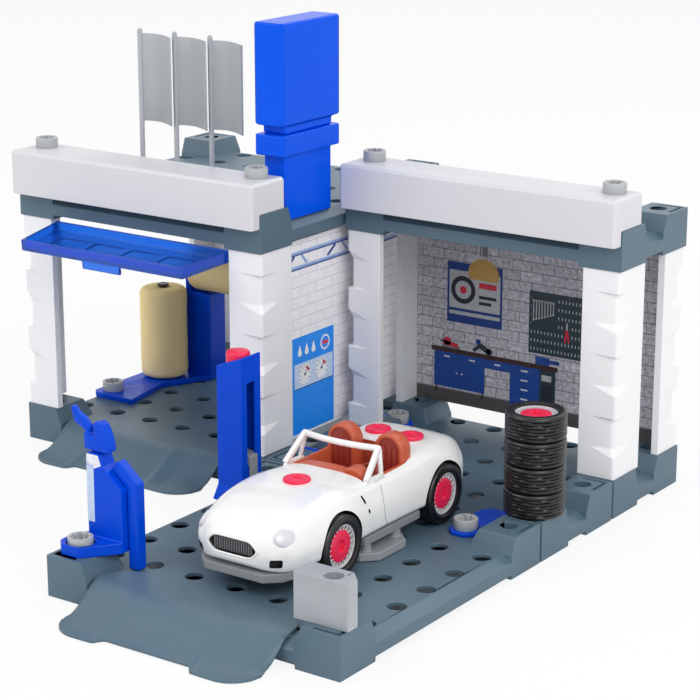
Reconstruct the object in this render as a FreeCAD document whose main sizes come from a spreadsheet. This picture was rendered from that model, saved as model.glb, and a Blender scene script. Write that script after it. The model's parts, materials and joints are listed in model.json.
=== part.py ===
# Toy service station: three ground plates, a wash bay and a workshop bay under roof plates on
# corner pillars, a car on a lift, a pump, ramps, tyre stack, flags and a sign tower.
# Millimetres, +Z up. The origin is the middle of the footprint, on the floor.

import FreeCAD, Part
import math
import os

import Sketcher
from FreeCAD import Placement, Rotation, Vector

doc = FreeCAD.newDocument("ToyServiceStation")
sheet = doc.addObject("Spreadsheet::Sheet", "Sizes")

# Driving sizes in millimetres, with counts and degrees where the name says so.
SIZES = {
    # plates: a grid of plug holes, a bevelled deck edge and four corner blocks
    "hole_pitch": 35.0,
    "hole_margin": 16.5,
    "hole_width": 12.6,
    "hole_sides": 6,
    "wide_count": 7,
    "narrow_count": 3,
    "deck_top": 17.4,
    "deck_skin": 3.0,
    "plate_wall": 3.0,
    "wall_top": 12.0,
    "wall_lift": 3.3,
    "bevel_run": 8.5,
    "block_top": 30.0,
    "block_foot_x": 35.5,
    "block_foot_y": 38.7,
    "block_head_x": 30.0,
    "block_head_y": 34.0,
    # pillars: an angle section with quoins between sloping recesses, plugged in by tongues
    "pillar_height": 158.5,
    "pillar_inset": 1.0,
    "pillar_short": 31.0,
    "pillar_long": 38.0,
    "pillar_wall": 6.0,
    "quoin_height": 17.0,
    "recess_height": 30.5,
    "recess_count": 3,
    "recess_depth": 3.0,
    "recess_run": 20.0,
    "recess_slope": 7.0,
    "tongue_wall": 2.4,
    "tongue_reach": 22.0,
    "tongue_depth": 3.0,
    "tongue_fit": 0.15,
    "seat_gap": 0.3,
    # fascias: hollow caps screwed to the front blocks of the roof plates
    "fascia_front": 10.0,
    "fascia_depth": 40.0,
    "fascia_rise": 24.0,
    "fascia_drop": 10.8,
    "fascia_skin": 3.0,
    "fascia_bevel": 2.0,
    # printed wall panels, clipped inside the pillars
    "panel_skin": 3.0,
    # plastic screws and the plugs that share the plate holes
    "screw_head": 17.6,
    "screw_rise": 8.0,
    "screw_socket": 9.0,
    "screw_socket_depth": 4.5,
    "screw_shank": 11.8,
    "screw_length": 12.0,
    "plug_fit": 0.3,
    # joining clips between plates
    "clip_skin": 3.0,
    "clip_width": 22.4,
    "clip_corner": 6.0,
    "clip_hole": 14.6,
    "clip_peg": 11.6,
    # wash bay door: a flap with a folded rim, window panes and pivot pins
    "door_width": 176.0,
    "door_front_width": 161.0,
    "door_reach": 47.6,
    "door_rim": 9.0,
    "door_skin": 2.4,
    "door_edge": 3.0,
    "door_handle_width": 37.0,
    "door_handle_drop": 6.0,
    "door_drop": 7.0,
    "door_tilt": 5.4,
    "door_pin": 3.6,
    "door_pin_reach": 3.6,
    "pin_fit": 0.08,
    "pane_count": 4,
    "pane_width": 27.0,
    "pane_depth": 18.0,
    "pane_pitch": 36.0,
    # wash gantry and its two foam rollers
    "gantry_foot_skin": 4.6,
    "gantry_pad": 26.0,
    "gantry_corner": 5.0,
    "gantry_column_left": 15.5,
    "gantry_column_near": 80.5,
    "gantry_column_x": 27.0,
    "gantry_column_y": 21.0,
    "gantry_height": 76.6,
    "cheek_skin": 4.5,
    "roller_x": 7.5,
    "roller_y": 60.0,
    "roller_width": 41.0,
    "roller_length": 78.0,
    "boom_roller_width": 37.0,
    "boom_roller_length": 118.0,
    "roller_sides": 16,
    "roller_pin": 6.0,
    "roller_gap": 1.0,
    # ramps
    "ramp_width": 161.0,
    "ramp_reach": 44.0,
    "ramp_rest": 31.0,
    "ramp_skin": 2.5,
    "ramp_corner": 22.0,
    "ramp_bay_width": 82.0,
    "ramp_bay_depth": 7.0,
    "ramp_shift": 3.5,
    # fuel pump
    "pump_left": -5.0,
    "pump_near": 13.5,
    "pump_width": 30.5,
    "pump_depth": 14.0,
    "pump_height": 59.0,
    "pump_seat": 66.5,
    "pump_slope": 14.0,
    "pump_foot_skin": 8.0,
    "pump_toe_left": 14.0,
    "pump_toe_near": 11.0,
    "pump_toe_back": 8.0,
    "pump_toe_bevel": 6.0,
    "pump_brink_seat": 3.0,
    "hose_width": 9.0,
    "nozzle_skin": 10.0,
    "nozzle_peg": 5.0,
    # lift
    "lift_width": 23.0,
    "lift_flare": 3.0,
    "lift_height": 111.6,
    "lift_top_drop": 9.0,
    "lift_wall": 2.0,
    "lift_slot_width": 9.5,
    "lift_slot_low": 27.6,
    "lift_slot_high": 90.6,
    "carriage_neck": 8.0,
    "lift_arm_reach": 157.0,
    "lift_arm_width": 52.0,
    "lift_arm_skin": 6.0,
    "lift_arm_nose": 10.0,
    "lift_pad_width": 8.0,
    "lift_pad_near": 76.0,
    "lift_pad_span": 70.0,
    "spindle_width": 5.0,
    "knob_width": 18.4,
    "knob_rise": 11.0,
    # corner stop block on the front plate
    "stop_length": 42.0,
    "stop_setback": 8.0,
    "stop_depth": 19.5,
    "stop_height": 32.0,
    "stop_chamfer": 9.0,
    # sign tower
    "tower_stem_x": 21.6,
    "tower_stem_y": 60.0,
    "tower_stem_height": 50.0,
    "tower_collar_x": 27.0,
    "tower_collar_y": 75.0,
    "tower_collar_height": 16.0,
    "tower_neck_height": 7.0,
    "tower_sign_height": 77.0,
    "tower_bevel": 2.0,
    "peg_length": 8.0,
    # flags
    "flag_pole": 4.0,
    "flag_pole_height": 133.0,
    "flag_width": 36.0,
    "flag_height": 69.0,
    "flag_skin": 1.4,
    "flag_bow": 2.8,
    "flag_turn": 7.0,
    # wheels, of the car and of the stack
    "tyre_width": 45.0,
    "tyre_depth": 19.0,
    "tyre_bore": 31.0,
    "tyre_shoulder": 2.5,
    "tread_count": 16,
    "press_gap": 0.1,
    "rim_offset": 3.0,
    "rim_skin": 9.0,
    "rim_dish": 3.0,
    "rim_lip": 2.0,
    "hub_width": 20.0,
    "hub_rise": 2.5,
    "axle_width": 4.0,
    "stack_count": 4,
    # car
    "car_width": 90.0,
    "car_wheelbase": 127.0,
    "car_front_overhang": 64.0,
    "car_nose_y": 41.0,
    "car_inset": 116.0,
    "car_sill_low": 12.6,
    "car_sill_high": 18.4,
    "well_gap": 3.0,
    "cockpit_front": 104.0,
    "cockpit_back": 165.0,
    "cockpit_width": 66.0,
    "cockpit_floor": 26.0,
    "tub_top": 52.0,
    "tub_skin": 3.0,
    "dash_depth": 14.0,
    "seat_width": 24.0,
    "seat_offset": 20.2,
    "seat_top": 75.0,
    "seat_back_depth": 12.0,
    "seat_cushion_depth": 24.0,
    "seat_cushion_rise": 9.0,
    "windscreen_top": 74.6,
    "windscreen_lean": 18.0,
    "frame_width": 4.0,
    "steering_width": 17.6,
    "steering_ring": 2.6,
    "steering_lean": 25.0,
    "bearing_half": 20.0,
    "bearing_depth": 16.0,
    "bearing_rise": 5.0,
    "grille_width": 34.0,
    "grille_low": 29.0,
    "grille_high": 39.0,
    "insert_depth": 5.0,
    "lamp_offset": 33.0,
    "lamp_width": 10.0,
    "lamp_low": 33.0,
    "lamp_high": 42.0,
    "cap_width": 19.0,
    "cap_rise": 2.0,
    "bonnet_cap_y": 72.0,
    "bonnet_cap_level": 58.8,
    "boot_cap_y": 190.0,
    "boot_cap_level": 60.3,
    "boot_cap_offset": 14.0,
}

for row, (alias, number) in enumerate(SIZES.items(), 1):
    sheet.set(f"A{row}", alias.replace("_", " "))
    sheet.set(f"B{row}", str(number))
    sheet.setAlias(f"B{row}", alias)
doc.recompute()


class Size:
    """A length that knows its value and the sheet expression that gives it."""

    def __init__(self, value, text):
        self.value = value
        self.text = text

    def __float__(self):
        return float(self.value)

    def __int__(self):
        return int(self.value)

    def __add__(self, other):
        other = as_size(other)
        return Size(self.value + other.value, f"({self.text} + {other.text})")

    def __sub__(self, other):
        other = as_size(other)
        return Size(self.value - other.value, f"({self.text} - {other.text})")

    def __mul__(self, other):
        other = as_size(other)
        return Size(self.value * other.value, f"({self.text} * {other.text})")

    def __truediv__(self, other):
        other = as_size(other)
        return Size(self.value / other.value, f"({self.text} / {other.text})")

    def __neg__(self):
        return Size(-self.value, f"(0 - {self.text})")

    def __radd__(self, other):
        return as_size(other) + self

    def __rsub__(self, other):
        return as_size(other) - self

    def __rmul__(self, other):
        return as_size(other) * self


def as_size(number):
    return number if isinstance(number, Size) else Size(float(number), repr(float(number)))


def size(alias):
    return Size(float(getattr(sheet, alias)), f"Sizes.{alias}")


def bind(thing, prop, length):
    thing.setExpression(prop, as_size(length).text)


# Document helpers: a body, a sketch on one of its origin planes, and the features made from it.


def new_body(label):
    body = doc.addObject("PartDesign::Body", label)
    body.Label = label
    return body


def sketch_on(body, plane, offset=0.0):
    sketch = body.newObject("Sketcher::SketchObject", "Sketch")
    origin_plane = [f for f in body.Origin.OriginFeatures if f.Role == plane + "_Plane"][0]
    sketch.AttachmentSupport = [(origin_plane, "")]
    sketch.MapMode = "FlatFace"
    offset = as_size(offset)
    sketch.AttachmentOffset = Placement(Vector(0, 0, offset.value), Rotation())
    bind(sketch, "AttachmentOffset.Base.z", offset)
    return sketch


def pin_point(sketch, edge, end, x, y):
    for kind, length in (("DistanceX", x), ("DistanceY", y)):
        index = sketch.addConstraint(Sketcher.Constraint(kind, -1, 1, edge, end, as_size(length).value))
        sketch.setExpression(f"Constraints[{index}]", as_size(length).text)


def add_polygon(sketch, points):
    first = sketch.GeometryCount
    ends = [Vector(float(x), float(y), 0) for x, y in points]
    for start, end in zip(ends, ends[1:] + ends[:1]):
        sketch.addGeometry(Part.LineSegment(start, end))
    for step, (x, y) in enumerate(points):
        before = first + (step - 1) % len(points)
        sketch.addConstraint(Sketcher.Constraint("Coincident", before, 2, first + step, 1))
        pin_point(sketch, first + step, 1, x, y)


def add_rectangle(sketch, left, front, right, back):
    add_polygon(sketch, [(left, front), (right, front), (right, back), (left, back)])


def add_circle(sketch, x, y, radius):
    index = sketch.addGeometry(Part.Circle(Vector(float(x), float(y), 0), Vector(0, 0, 1), float(radius)))
    pin_point(sketch, index, 3, x, y)
    bound = sketch.addConstraint(Sketcher.Constraint("Radius", index, float(radius)))
    sketch.setExpression(f"Constraints[{bound}]", as_size(radius).text)


def regular_points(x, y, width, sides, corners=False):
    """A regular polygon, by its width across flats, or across corners for a part that turns."""
    reach = width / 2 if corners else width / (2 * math.cos(math.pi / sides))
    turns = [math.pi * (2 * side + 1) / sides for side in range(sides)]
    return [(x + reach * math.cos(turn), y + reach * math.sin(turn)) for turn in turns]


def pad(body, sketch, length, middle=False, down=False):
    feature = body.newObject("PartDesign::Pad", "Pad")
    feature.Profile = sketch
    feature.Midplane = middle
    feature.Reversed = down
    bind(feature, "Length", length)
    return feature


def pocket(body, sketch, depth=None, up=False):
    feature = body.newObject("PartDesign::Pocket", "Pocket")
    feature.Profile = sketch
    feature.Reversed = up
    if depth is None:
        feature.Type = "ThroughAll"
    else:
        bind(feature, "Length", depth)
    return feature


def cut_across(body, sketch):
    """Cuts a profile through the whole body, on both sides of the sketch's plane."""
    feature = pocket(body, sketch)
    feature.Midplane = True
    return feature


def loft(body, sketches):
    feature = body.newObject("PartDesign::AdditiveLoft", "Loft")
    feature.Profile = sketches[0]
    feature.Sections = sketches[1:]
    feature.Ruled = True
    return feature


def mirror_both(body, features):
    across = body.newObject("PartDesign::MultiTransform", "Mirrors")
    across.Originals = features
    steps = []
    for plane in ("YZ", "XZ"):
        step = body.newObject("PartDesign::Mirrored", "Mirror")
        step.MirrorPlane = ([f for f in body.Origin.OriginFeatures if f.Role == plane + "_Plane"][0], [""])
        steps.append(step)
    across.Transformations = steps
    body.Tip = across
    return across


def bevel_edges(body, length, test):
    """Bevels the edges of a body whose boxes pass the test."""
    doc.recompute()
    base = body.Tip
    picked = [f"Edge{number}" for number, edge in enumerate(base.Shape.Edges, 1) if test(edge.BoundBox)]
    bevelled = body.newObject("PartDesign::Chamfer", "Bevel")
    bevelled.Base = (base, picked)
    bind(bevelled, "Size", length)


def grid_pattern(body, features, runs):
    grid = body.newObject("PartDesign::MultiTransform", "Grid")
    grid.Originals = features
    steps = []
    for axis, count, pitch in runs:
        step = body.newObject("PartDesign::LinearPattern", "Line")
        step.Direction = ([f for f in body.Origin.OriginFeatures if f.Role == axis + "_Axis"][0], [""])
        bind(step, "Length", (count - 1) * pitch)
        bind(step, "Occurrences", count)
        steps.append(step)
    grid.Transformations = steps
    body.Tip = grid
    return grid


def place(thing, x, y, z, rotation=None):
    thing.Placement = Placement(Vector(0, 0, 0), rotation or Rotation())
    for axis, length in (("x", x), ("y", y), ("z", z)):
        bind(thing, f"Placement.Base.{axis}", length)


# Places: the four ground squares and what stands on them, measured from the footprint's middle.

hole_sides = int(size("hole_sides"))
hole_pitch = size("hole_pitch")
hole_margin = size("hole_margin")
deck_top = size("deck_top")
block_top = size("block_top")
seat_gap = size("seat_gap")
plate_gap = hole_pitch - 2 * hole_margin
wide = 2 * hole_margin + (size("wide_count") - 1) * hole_pitch
narrow = 2 * hole_margin + (size("narrow_count") - 1) * hole_pitch


def deck_plate(label, columns, rows):
    """A hollow moulding: low wall, bevel, drilled deck and four corner blocks, about its middle."""
    body = new_body(label)
    half_x = hole_margin + (columns - 1) * hole_pitch / 2
    half_y = hole_margin + (rows - 1) * hole_pitch / 2
    bevel = size("bevel_run")
    wall = size("plate_wall")
    wall_top = size("wall_top")
    foot_x, foot_y = size("block_foot_x"), size("block_foot_y")
    head_x, head_y = size("block_head_x"), size("block_head_y")

    rim = sketch_on(body, "XY", size("wall_lift"))
    add_rectangle(rim, -half_x, -half_y, half_x, half_y)
    pad(body, rim, deck_top - size("wall_lift"))
    sides = (("XZ", half_x, foot_x, head_x), ("YZ", half_y, foot_y, head_y))
    for plane, half, foot, head in sides:
        slope = sketch_on(body, plane)
        for side in (-1, 1):
            add_polygon(slope, [(side * half, wall_top), (side * half, deck_top),
                                (side * (half - bevel), deck_top)])
        cut_across(body, slope)

    foot = sketch_on(body, "XY")
    add_rectangle(foot, half_x - foot_x, half_y - foot_y, half_x, half_y)
    mirror_both(body, [pad(body, foot, block_top)])
    for plane, half, foot, head in sides:
        slope = sketch_on(body, plane)
        for side in (-1, 1):
            add_polygon(slope, [(side * (half - foot), deck_top), (side * (half - head), block_top),
                                (side * (half - foot), block_top)])
        cut_across(body, slope)

    under = deck_top - size("deck_skin")
    for inset_x, inset_y in ((bevel, foot_y), (foot_x, bevel)):
        hollow = sketch_on(body, "XY")
        add_rectangle(hollow, inset_x - half_x, inset_y - half_y, half_x - inset_x, half_y - inset_y)
        pocket(body, hollow, under, up=True)

    tongue = size("tongue_wall")
    near = size("pillar_inset") + (size("pillar_wall") - tongue) / 2 - size("tongue_fit")
    far = near + tongue + 2 * size("tongue_fit")
    reach = size("pillar_inset") + size("tongue_reach") + size("tongue_fit")
    grooves = []
    for level, up in ((block_top, False), (0.0, True)):
        groove = sketch_on(body, "XY", level)
        corner = [(near, near), (reach, near), (reach, far), (far, far), (far, reach), (near, reach)]
        add_polygon(groove, [(half_x - right, half_y - back) for right, back in corner])
        grooves.append(pocket(body, groove, size("tongue_depth") + seat_gap, up=up))
    mirror_both(body, grooves)

    hole = sketch_on(body, "XY")
    add_polygon(hole, regular_points(hole_margin - half_x, hole_margin - half_y,
                                     size("hole_width"), hole_sides))
    bore = pocket(body, hole, up=True)
    grid_pattern(body, [bore], [("X", columns, hole_pitch), ("Y", rows, hole_pitch)])
    return body


def clone(label, master):
    """The same moulding once more, as a body of its own."""
    doc.recompute()
    body = doc.addObject("PartDesign::Body", label)
    body.Label = label
    copy = doc.addObject("PartDesign::FeatureBase", "Copy")
    copy.BaseFeature = master.Tip
    copy.Placement = master.Tip.Placement
    body.Group = [copy]
    body.Tip = copy
    return body


class Deck:
    """Where a plate lies and where its plug holes are, counted from its right front corner."""

    def __init__(self, columns, rows, x, y, z):
        self.x, self.y, self.z = x, y, z
        self.columns, self.rows = columns, rows
        self.half_x = hole_margin + (columns - 1) * hole_pitch / 2
        self.half_y = hole_margin + (rows - 1) * hole_pitch / 2
        self.west, self.east = x - self.half_x, x + self.half_x
        self.front, self.back = y - self.half_y, y + self.half_y

    def hole(self, column, row):
        return (self.east - hole_margin - column * hole_pitch,
                self.front + hole_margin + row * hole_pitch)


stack_overhang = size("tyre_width") / 2 - hole_margin
east = wide + (plate_gap - stack_overhang) / 2
front = (size("ramp_reach") - plate_gap) / 2 - wide
roof_level = block_top + size("pillar_height")
across, few = size("wide_count"), size("narrow_count")
row_back = front + wide + plate_gap
yard = Deck(across, across, east - wide / 2, front + wide / 2, 0)
middle = Deck(across, few, yard.x, row_back + narrow / 2, 0)
shop = Deck(across, few, yard.x, row_back + narrow + plate_gap + narrow / 2, 0)
wash = Deck(across, across, yard.x - wide - plate_gap, row_back + wide / 2, 0)
wash_roof = Deck(across, across, wash.x, wash.y, roof_level)
shop_roof = Deck(across, few, shop.x, shop.y, roof_level)

wide_master = deck_plate("front_deck_plate", across, across)
narrow_master = deck_plate("middle_deck_plate", across, few)
plates = {
    "front_deck_plate": (wide_master, yard),
    "wash_deck_plate": (clone("wash_deck_plate", wide_master), wash),
    "wash_roof_plate": (clone("wash_roof_plate", wide_master), wash_roof),
    "middle_deck_plate": (narrow_master, middle),
    "workshop_deck_plate": (clone("workshop_deck_plate", narrow_master), shop),
    "workshop_roof_plate": (clone("workshop_roof_plate", narrow_master), shop_roof),
}
for body, deck in plates.values():
    place(body, deck.x, deck.y, deck.z)


# Pillars: eight mouldings of one kind, the right-hand ones upside down.

pillar_height = size("pillar_height")
pillar_inset = size("pillar_inset")
pillar_wall = size("pillar_wall")
pin_radius = size("door_pin") / 2
door_pivot = roof_level - size("door_drop")


def pillar(label, socket=None):
    """An angle of two legs, with wedge recesses between its quoins and a tongue at each end."""
    body = new_body(label)
    short, long, wall = size("pillar_short"), size("pillar_long"), pillar_wall
    section = sketch_on(body, "XY")
    add_polygon(section, [(0, 0), (short, 0), (short, wall), (wall, wall), (wall, long), (0, long)])
    pad(body, section, pillar_height)

    deep, run = size("recess_depth"), size("recess_run")
    start, rise = size("quoin_height"), size("recess_slope")
    bend = start + size("recess_height") - rise
    wedge = [(0, 0), (run, 0), (deep, deep), (0, run)]
    flat = sketch_on(body, "XY", start)
    add_polygon(flat, wedge)
    recess = pocket(body, flat, bend - start, up=True)
    lower = sketch_on(body, "XY", bend)
    add_polygon(lower, wedge)
    slope = pocket(body, lower, rise, up=True)
    slope.UseCustomVector = True
    slope.AlongSketchNormal = True
    for axis, lean in (("x", deep), ("y", deep), ("z", -rise)):
        bind(slope, f"Direction.{axis}", lean)
    grid_pattern(body, [recess, slope], [("Z", size("recess_count"), start + size("recess_height"))])

    near = (wall - size("tongue_wall")) / 2
    far = near + size("tongue_wall")
    reach = size("tongue_reach")
    corner = [(near, near), (reach, near), (reach, far), (far, far), (far, reach), (near, reach)]
    for level, down in ((pillar_height, False), (0.0, True)):
        tongue = sketch_on(body, "XY", level)
        add_polygon(tongue, corner)
        pad(body, tongue, size("tongue_depth"), down=down)

    if socket is not None:
        bore = sketch_on(body, "YZ", short)
        add_polygon(bore, regular_points(wall / 2, socket, 2 * (pin_radius + size("pin_fit")), 12))
        pocket(body, bore, size("door_pin_reach") + seat_gap)
    return body


upright = Rotation()
over_side = Rotation(Vector(0, 1, 0), 180)
quarter = Rotation(Vector(0, 0, 1), -90)
over_back = quarter.multiply(Rotation(Vector(1, 0, 0), 180))
pillars = {}
plain_pillar = None
for bay, deck in (("wash", wash), ("workshop", shop)):
    left, right = deck.west + pillar_inset, deck.east - pillar_inset
    near, far = deck.front + pillar_inset, deck.back - pillar_inset
    for corner, x, y, turn, upside in (
        ("front_left", left, near, upright, False),
        ("front_right", right, near, over_side, True),
        ("rear_right", right, far, over_back, True),
        ("rear_left", left, far, quarter, False),
    ):
        label = f"{bay}_{corner}_pillar"
        if label == "wash_front_left_pillar":
            body = pillar(label, door_pivot - block_top)
        elif label == "wash_front_right_pillar":
            body = pillar(label, roof_level - door_pivot)
        elif plain_pillar is None:
            body = plain_pillar = pillar(label)
        else:
            body = clone(label, plain_pillar)
        place(body, x, y, roof_level if upside else block_top, turn)
        pillars[label] = body


# Fascias: a cap on the front roof blocks, with a front wall that hangs in front of the plate.


def fascia(label):
    body = new_body(label)
    reach, depth = size("fascia_front"), size("fascia_depth")
    rise, drop, skin = size("fascia_rise"), size("fascia_drop"), size("fascia_skin")
    profile = sketch_on(body, "YZ")
    lip = 0 - seat_gap
    add_polygon(profile, [(-reach, -drop), (lip, -drop), (lip, 0), (depth - reach, 0),
                          (depth - reach, rise), (-reach, rise)])
    pad(body, profile, wide - 2 * pillar_inset, middle=True)
    half = float(wide) / 2 - float(pillar_inset)

    def outside(box):
        on_top = abs(box.Center.z - rise.value) < 0.01
        on_front = abs(box.Center.y + reach.value) < 0.01
        on_side = abs(abs(box.Center.x) - half) < 0.01
        return on_top + on_front + on_side >= 2

    bevel_edges(body, size("fascia_bevel"), outside)

    inner = sketch_on(body, "XY")
    end = wide / 2 - size("block_head_x") - skin
    add_rectangle(inner, -end, skin - reach, end, depth - reach - skin)
    pocket(body, inner, rise - skin, up=True)
    holes = sketch_on(body, "XY")
    for side in (-1, 1):
        spot = side * (wide / 2 - hole_margin)
        add_polygon(holes, regular_points(spot, hole_margin, size("hole_width"), hole_sides))
    pocket(body, holes, up=True)
    return body


fascia_level = roof_level + block_top
wash_fascia = fascia("wash_fascia")
place(wash_fascia, wash.x, wash.front, fascia_level)
workshop_fascia = clone("workshop_fascia", wash_fascia)
place(workshop_fascia, shop.x, shop.front, fascia_level)


# Printed wall panels: one across the back of the workshop, one along the right of the wash bay.

panel_inset = pillar_inset + pillar_wall + seat_gap
back_panel = new_body("workshop_back_panel")
outline = sketch_on(back_panel, "XZ")
panel_half = wide / 2 - panel_inset
add_rectangle(outline, -panel_half, seat_gap, panel_half, pillar_height - seat_gap)
pad(back_panel, outline, size("panel_skin"))
place(back_panel, shop.x, shop.back - panel_inset, block_top)
side_panel = clone("wash_side_panel", back_panel)
place(side_panel, wash.east - panel_inset, wash.y, block_top, Rotation(Vector(0, 0, 1), -90))


# Plugs and screws that fit the plate holes.

plug_width = size("hole_width") - size("plug_fit")


def add_pegs(body, spots, length):
    """Pegs with the holes' sides under a piece, one in each plate hole it stands on."""
    pegs = sketch_on(body, "XY")
    for x, y in spots:
        add_polygon(pegs, regular_points(x, y, plug_width, hole_sides))
    return pad(body, pegs, length, down=True)


def prism(x, y, low, high, flat_width, sides):
    corners = [Vector(float(px), float(py), float(low))
               for px, py in regular_points(x, y, flat_width, sides)]
    face = Part.Face(Part.makePolygon(corners + corners[:1]))
    return face.extrude(Vector(0, 0, float(high) - float(low)))


def screw(spot, level, length):
    """A plastic screw: an eight-sided head with a six-sided socket, on a shank with the holes' sides."""
    x, y = spot
    top = level + size("screw_rise")
    head = prism(x, y, level, top, size("screw_head"), 8)
    shank = prism(x, y, level - length, level, size("screw_shank"), hole_sides)
    socket = prism(x, y, top - size("screw_socket_depth"), top, size("screw_socket"), 6)
    return head.fuse(shank).removeSplitter().cut(socket)


def add_shape(label, shape):
    feature = doc.addObject("Part::Feature", label)
    feature.Label = label
    feature.Shape = shape
    return feature


clip_top = deck_top + size("clip_skin")
long_screw = size("fascia_rise") + size("screw_length")
fascia_top = fascia_level + size("fascia_rise")
gantry_hole = wash.hole(6, 2)
pump_hole = yard.hole(6, 0)
screws = [screw(roof.hole(column, 0), fascia_top, long_screw)
          for roof in (wash_roof, shop_roof) for column in (0, 6)]
screws += [screw(spot, clip_top, size("screw_length"))
           for spot in (yard.hole(1, 6), shop.hole(6, 1), wash.hole(0, 1))]
screws.append(screw(gantry_hole, deck_top + size("gantry_foot_skin"), size("screw_length")))
screws.append(screw(pump_hole, block_top + size("pump_foot_skin") / 2, size("screw_length")))
fastening_screws = add_shape("fastening_screws", Part.makeCompound(screws))


def joining_clip(label, x, y, turn):
    """A flat link over two plate holes: a screw passes one end and a peg plugs in the other."""
    body = new_body(label)
    half = size("clip_width") / 2
    inner, far = half - size("clip_corner"), hole_pitch + half
    link = sketch_on(body, "XY")
    add_polygon(link, [(-inner, -half), (inner, -half), (half, -inner), (half, hole_pitch + inner),
                       (inner, far), (-inner, far), (-half, hole_pitch + inner), (-half, -inner)])
    pad(body, link, size("clip_skin"))
    hole = sketch_on(body, "XY")
    add_polygon(hole, regular_points(0, 0, size("clip_hole"), 8))
    pocket(body, hole, up=True)
    peg = sketch_on(body, "XY")
    add_polygon(peg, regular_points(0, hole_pitch, size("clip_peg"), 8))
    pad(body, peg, size("peg_length"), down=True)
    place(body, x, y, deck_top, turn)
    return body


yard_clip = joining_clip("front_clip", *yard.hole(1, 6), Rotation())
shop_clip = clone("workshop_clip", yard_clip)
place(shop_clip, *shop.hole(6, 1), deck_top, Rotation(Vector(0, 0, 1), 90))
wash_clip = clone("wash_clip", yard_clip)
place(wash_clip, *wash.hole(0, 1), deck_top, Rotation(Vector(0, 0, 1), -90))
joining_clips = doc.addObject("Part::Compound", "joining_clips")
joining_clips.Label = "joining_clips"
joining_clips.Links = [yard_clip, shop_clip, wash_clip]


# Wash bay door: a tray-shaped flap that turns on two pins in the front pillars.

opening = wide - 2 * pillar_inset - 2 * size("pillar_short")
door = new_body("wash_bay_door")
rim, edge, reach = size("door_rim"), size("door_edge"), size("door_reach")
back_half, front_half = size("door_width") / 2, size("door_front_width") / 2
rear = rim / 3
flap = sketch_on(door, "XY", -rim / 2)
add_polygon(flap, [(-front_half, -reach), (front_half, -reach), (back_half, rear), (-back_half, rear)])
pad(door, flap, rim)
tray = sketch_on(door, "XY", rim / 2)
add_polygon(tray, [(edge - front_half, edge - reach), (front_half - edge, edge - reach),
                   (back_half - edge, rear - edge), (edge - back_half, rear - edge)])
pocket(door, tray, rim - size("door_skin"))
panes = sketch_on(door, "XY", size("door_skin") - rim / 2)
pane_half, pane_y = size("pane_width") / 2, (rear - reach) / 2
for number in range(int(size("pane_count"))):
    middle_x = (number - (size("pane_count") - 1) / 2) * size("pane_pitch")
    add_rectangle(panes, middle_x - pane_half, pane_y - size("pane_depth") / 2,
                  middle_x + pane_half, pane_y + size("pane_depth") / 2)
pocket(door, panes, size("door_skin") / 3)
handle = sketch_on(door, "XY", -rim / 2)
grip = size("door_handle_width") / 2
add_rectangle(handle, -grip, -reach, grip, edge - reach)
pad(door, handle, size("door_handle_drop"), down=True)
pin_start = back_half - edge
for side in (-1, 1):
    pin = sketch_on(door, "YZ", side * pin_start)
    add_circle(pin, 0, 0, pin_radius)
    pad(door, pin, opening / 2 + size("door_pin_reach") - pin_start, down=side < 0)
door_tilt = size("door_tilt")
place(door, wash.x, wash.front + pillar_inset + pillar_wall / 2, door_pivot,
      Rotation(Vector(1, 0, 0), door_tilt.value))


# Wash gantry: a screwed-down foot, a column with a side cheek, and two foam rollers on pins.

gantry = new_body("gantry_frame")
foot = sketch_on(gantry, "XY")
column_x, column_y = size("gantry_column_x"), size("gantry_column_y")
column_left, column_near = size("gantry_column_left"), size("gantry_column_near")
roller_x, roller_y = size("roller_x"), size("roller_y")
pad_half, pad_corner = size("gantry_pad") / 2, size("gantry_corner")
column_far, column_right = column_near + column_y, column_left + column_x
add_polygon(foot, [(-pad_half, pad_corner - pad_half), (pad_corner - pad_half, -pad_half),
                   (column_x + pad_corner, -pad_half), (column_right / 2, pad_half * 3),
                   (column_right, column_near), (column_right, column_far),
                   (column_left - pad_corner, column_far), (-pad_half, roller_y)])
foot_skin = size("gantry_foot_skin")
pad(gantry, foot, foot_skin)
mast = sketch_on(gantry, "XY", foot_skin)
add_rectangle(mast, column_left, column_near, column_right, column_far)
pad(gantry, mast, size("gantry_height") - foot_skin)
cheek = sketch_on(gantry, "XY", size("gantry_height"))
cheek_skin = size("cheek_skin")
add_rectangle(cheek, column_left, column_near, column_left + cheek_skin, column_far)
boom_z = size("gantry_height") + size("roller_gap") + size("boom_roller_width") / 2
pad(gantry, cheek, boom_z + size("roller_pin") - size("gantry_height"))
screw_hole = sketch_on(gantry, "XY")
add_polygon(screw_hole, regular_points(0, 0, size("hole_width"), hole_sides))
pocket(gantry, screw_hole, up=True)
place(gantry, *gantry_hole, deck_top)


def foam_roller(label, width, length):
    body = new_body(label)
    ring = sketch_on(body, "XY")
    add_polygon(ring, regular_points(0, 0, width, int(size("roller_sides"))))
    add_circle(ring, 0, 0, size("roller_pin") / 2 + size("pin_fit"))
    pad(body, ring, length)
    return body


def roller_pin(start, direction, length, width, head):
    """A twelve-sided pin whose corners run in the roller's bore, with a flat eight-sided head."""
    stem = prism(0, 0, 0, length, width * math.cos(math.pi / 12), 12)
    pin = stem.fuse(prism(0, 0, length, length + head, 1.6 * width, 8)).removeSplitter()
    pin.Placement = Placement(start, Rotation(Vector(0, 0, 1), direction))
    return pin


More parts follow.
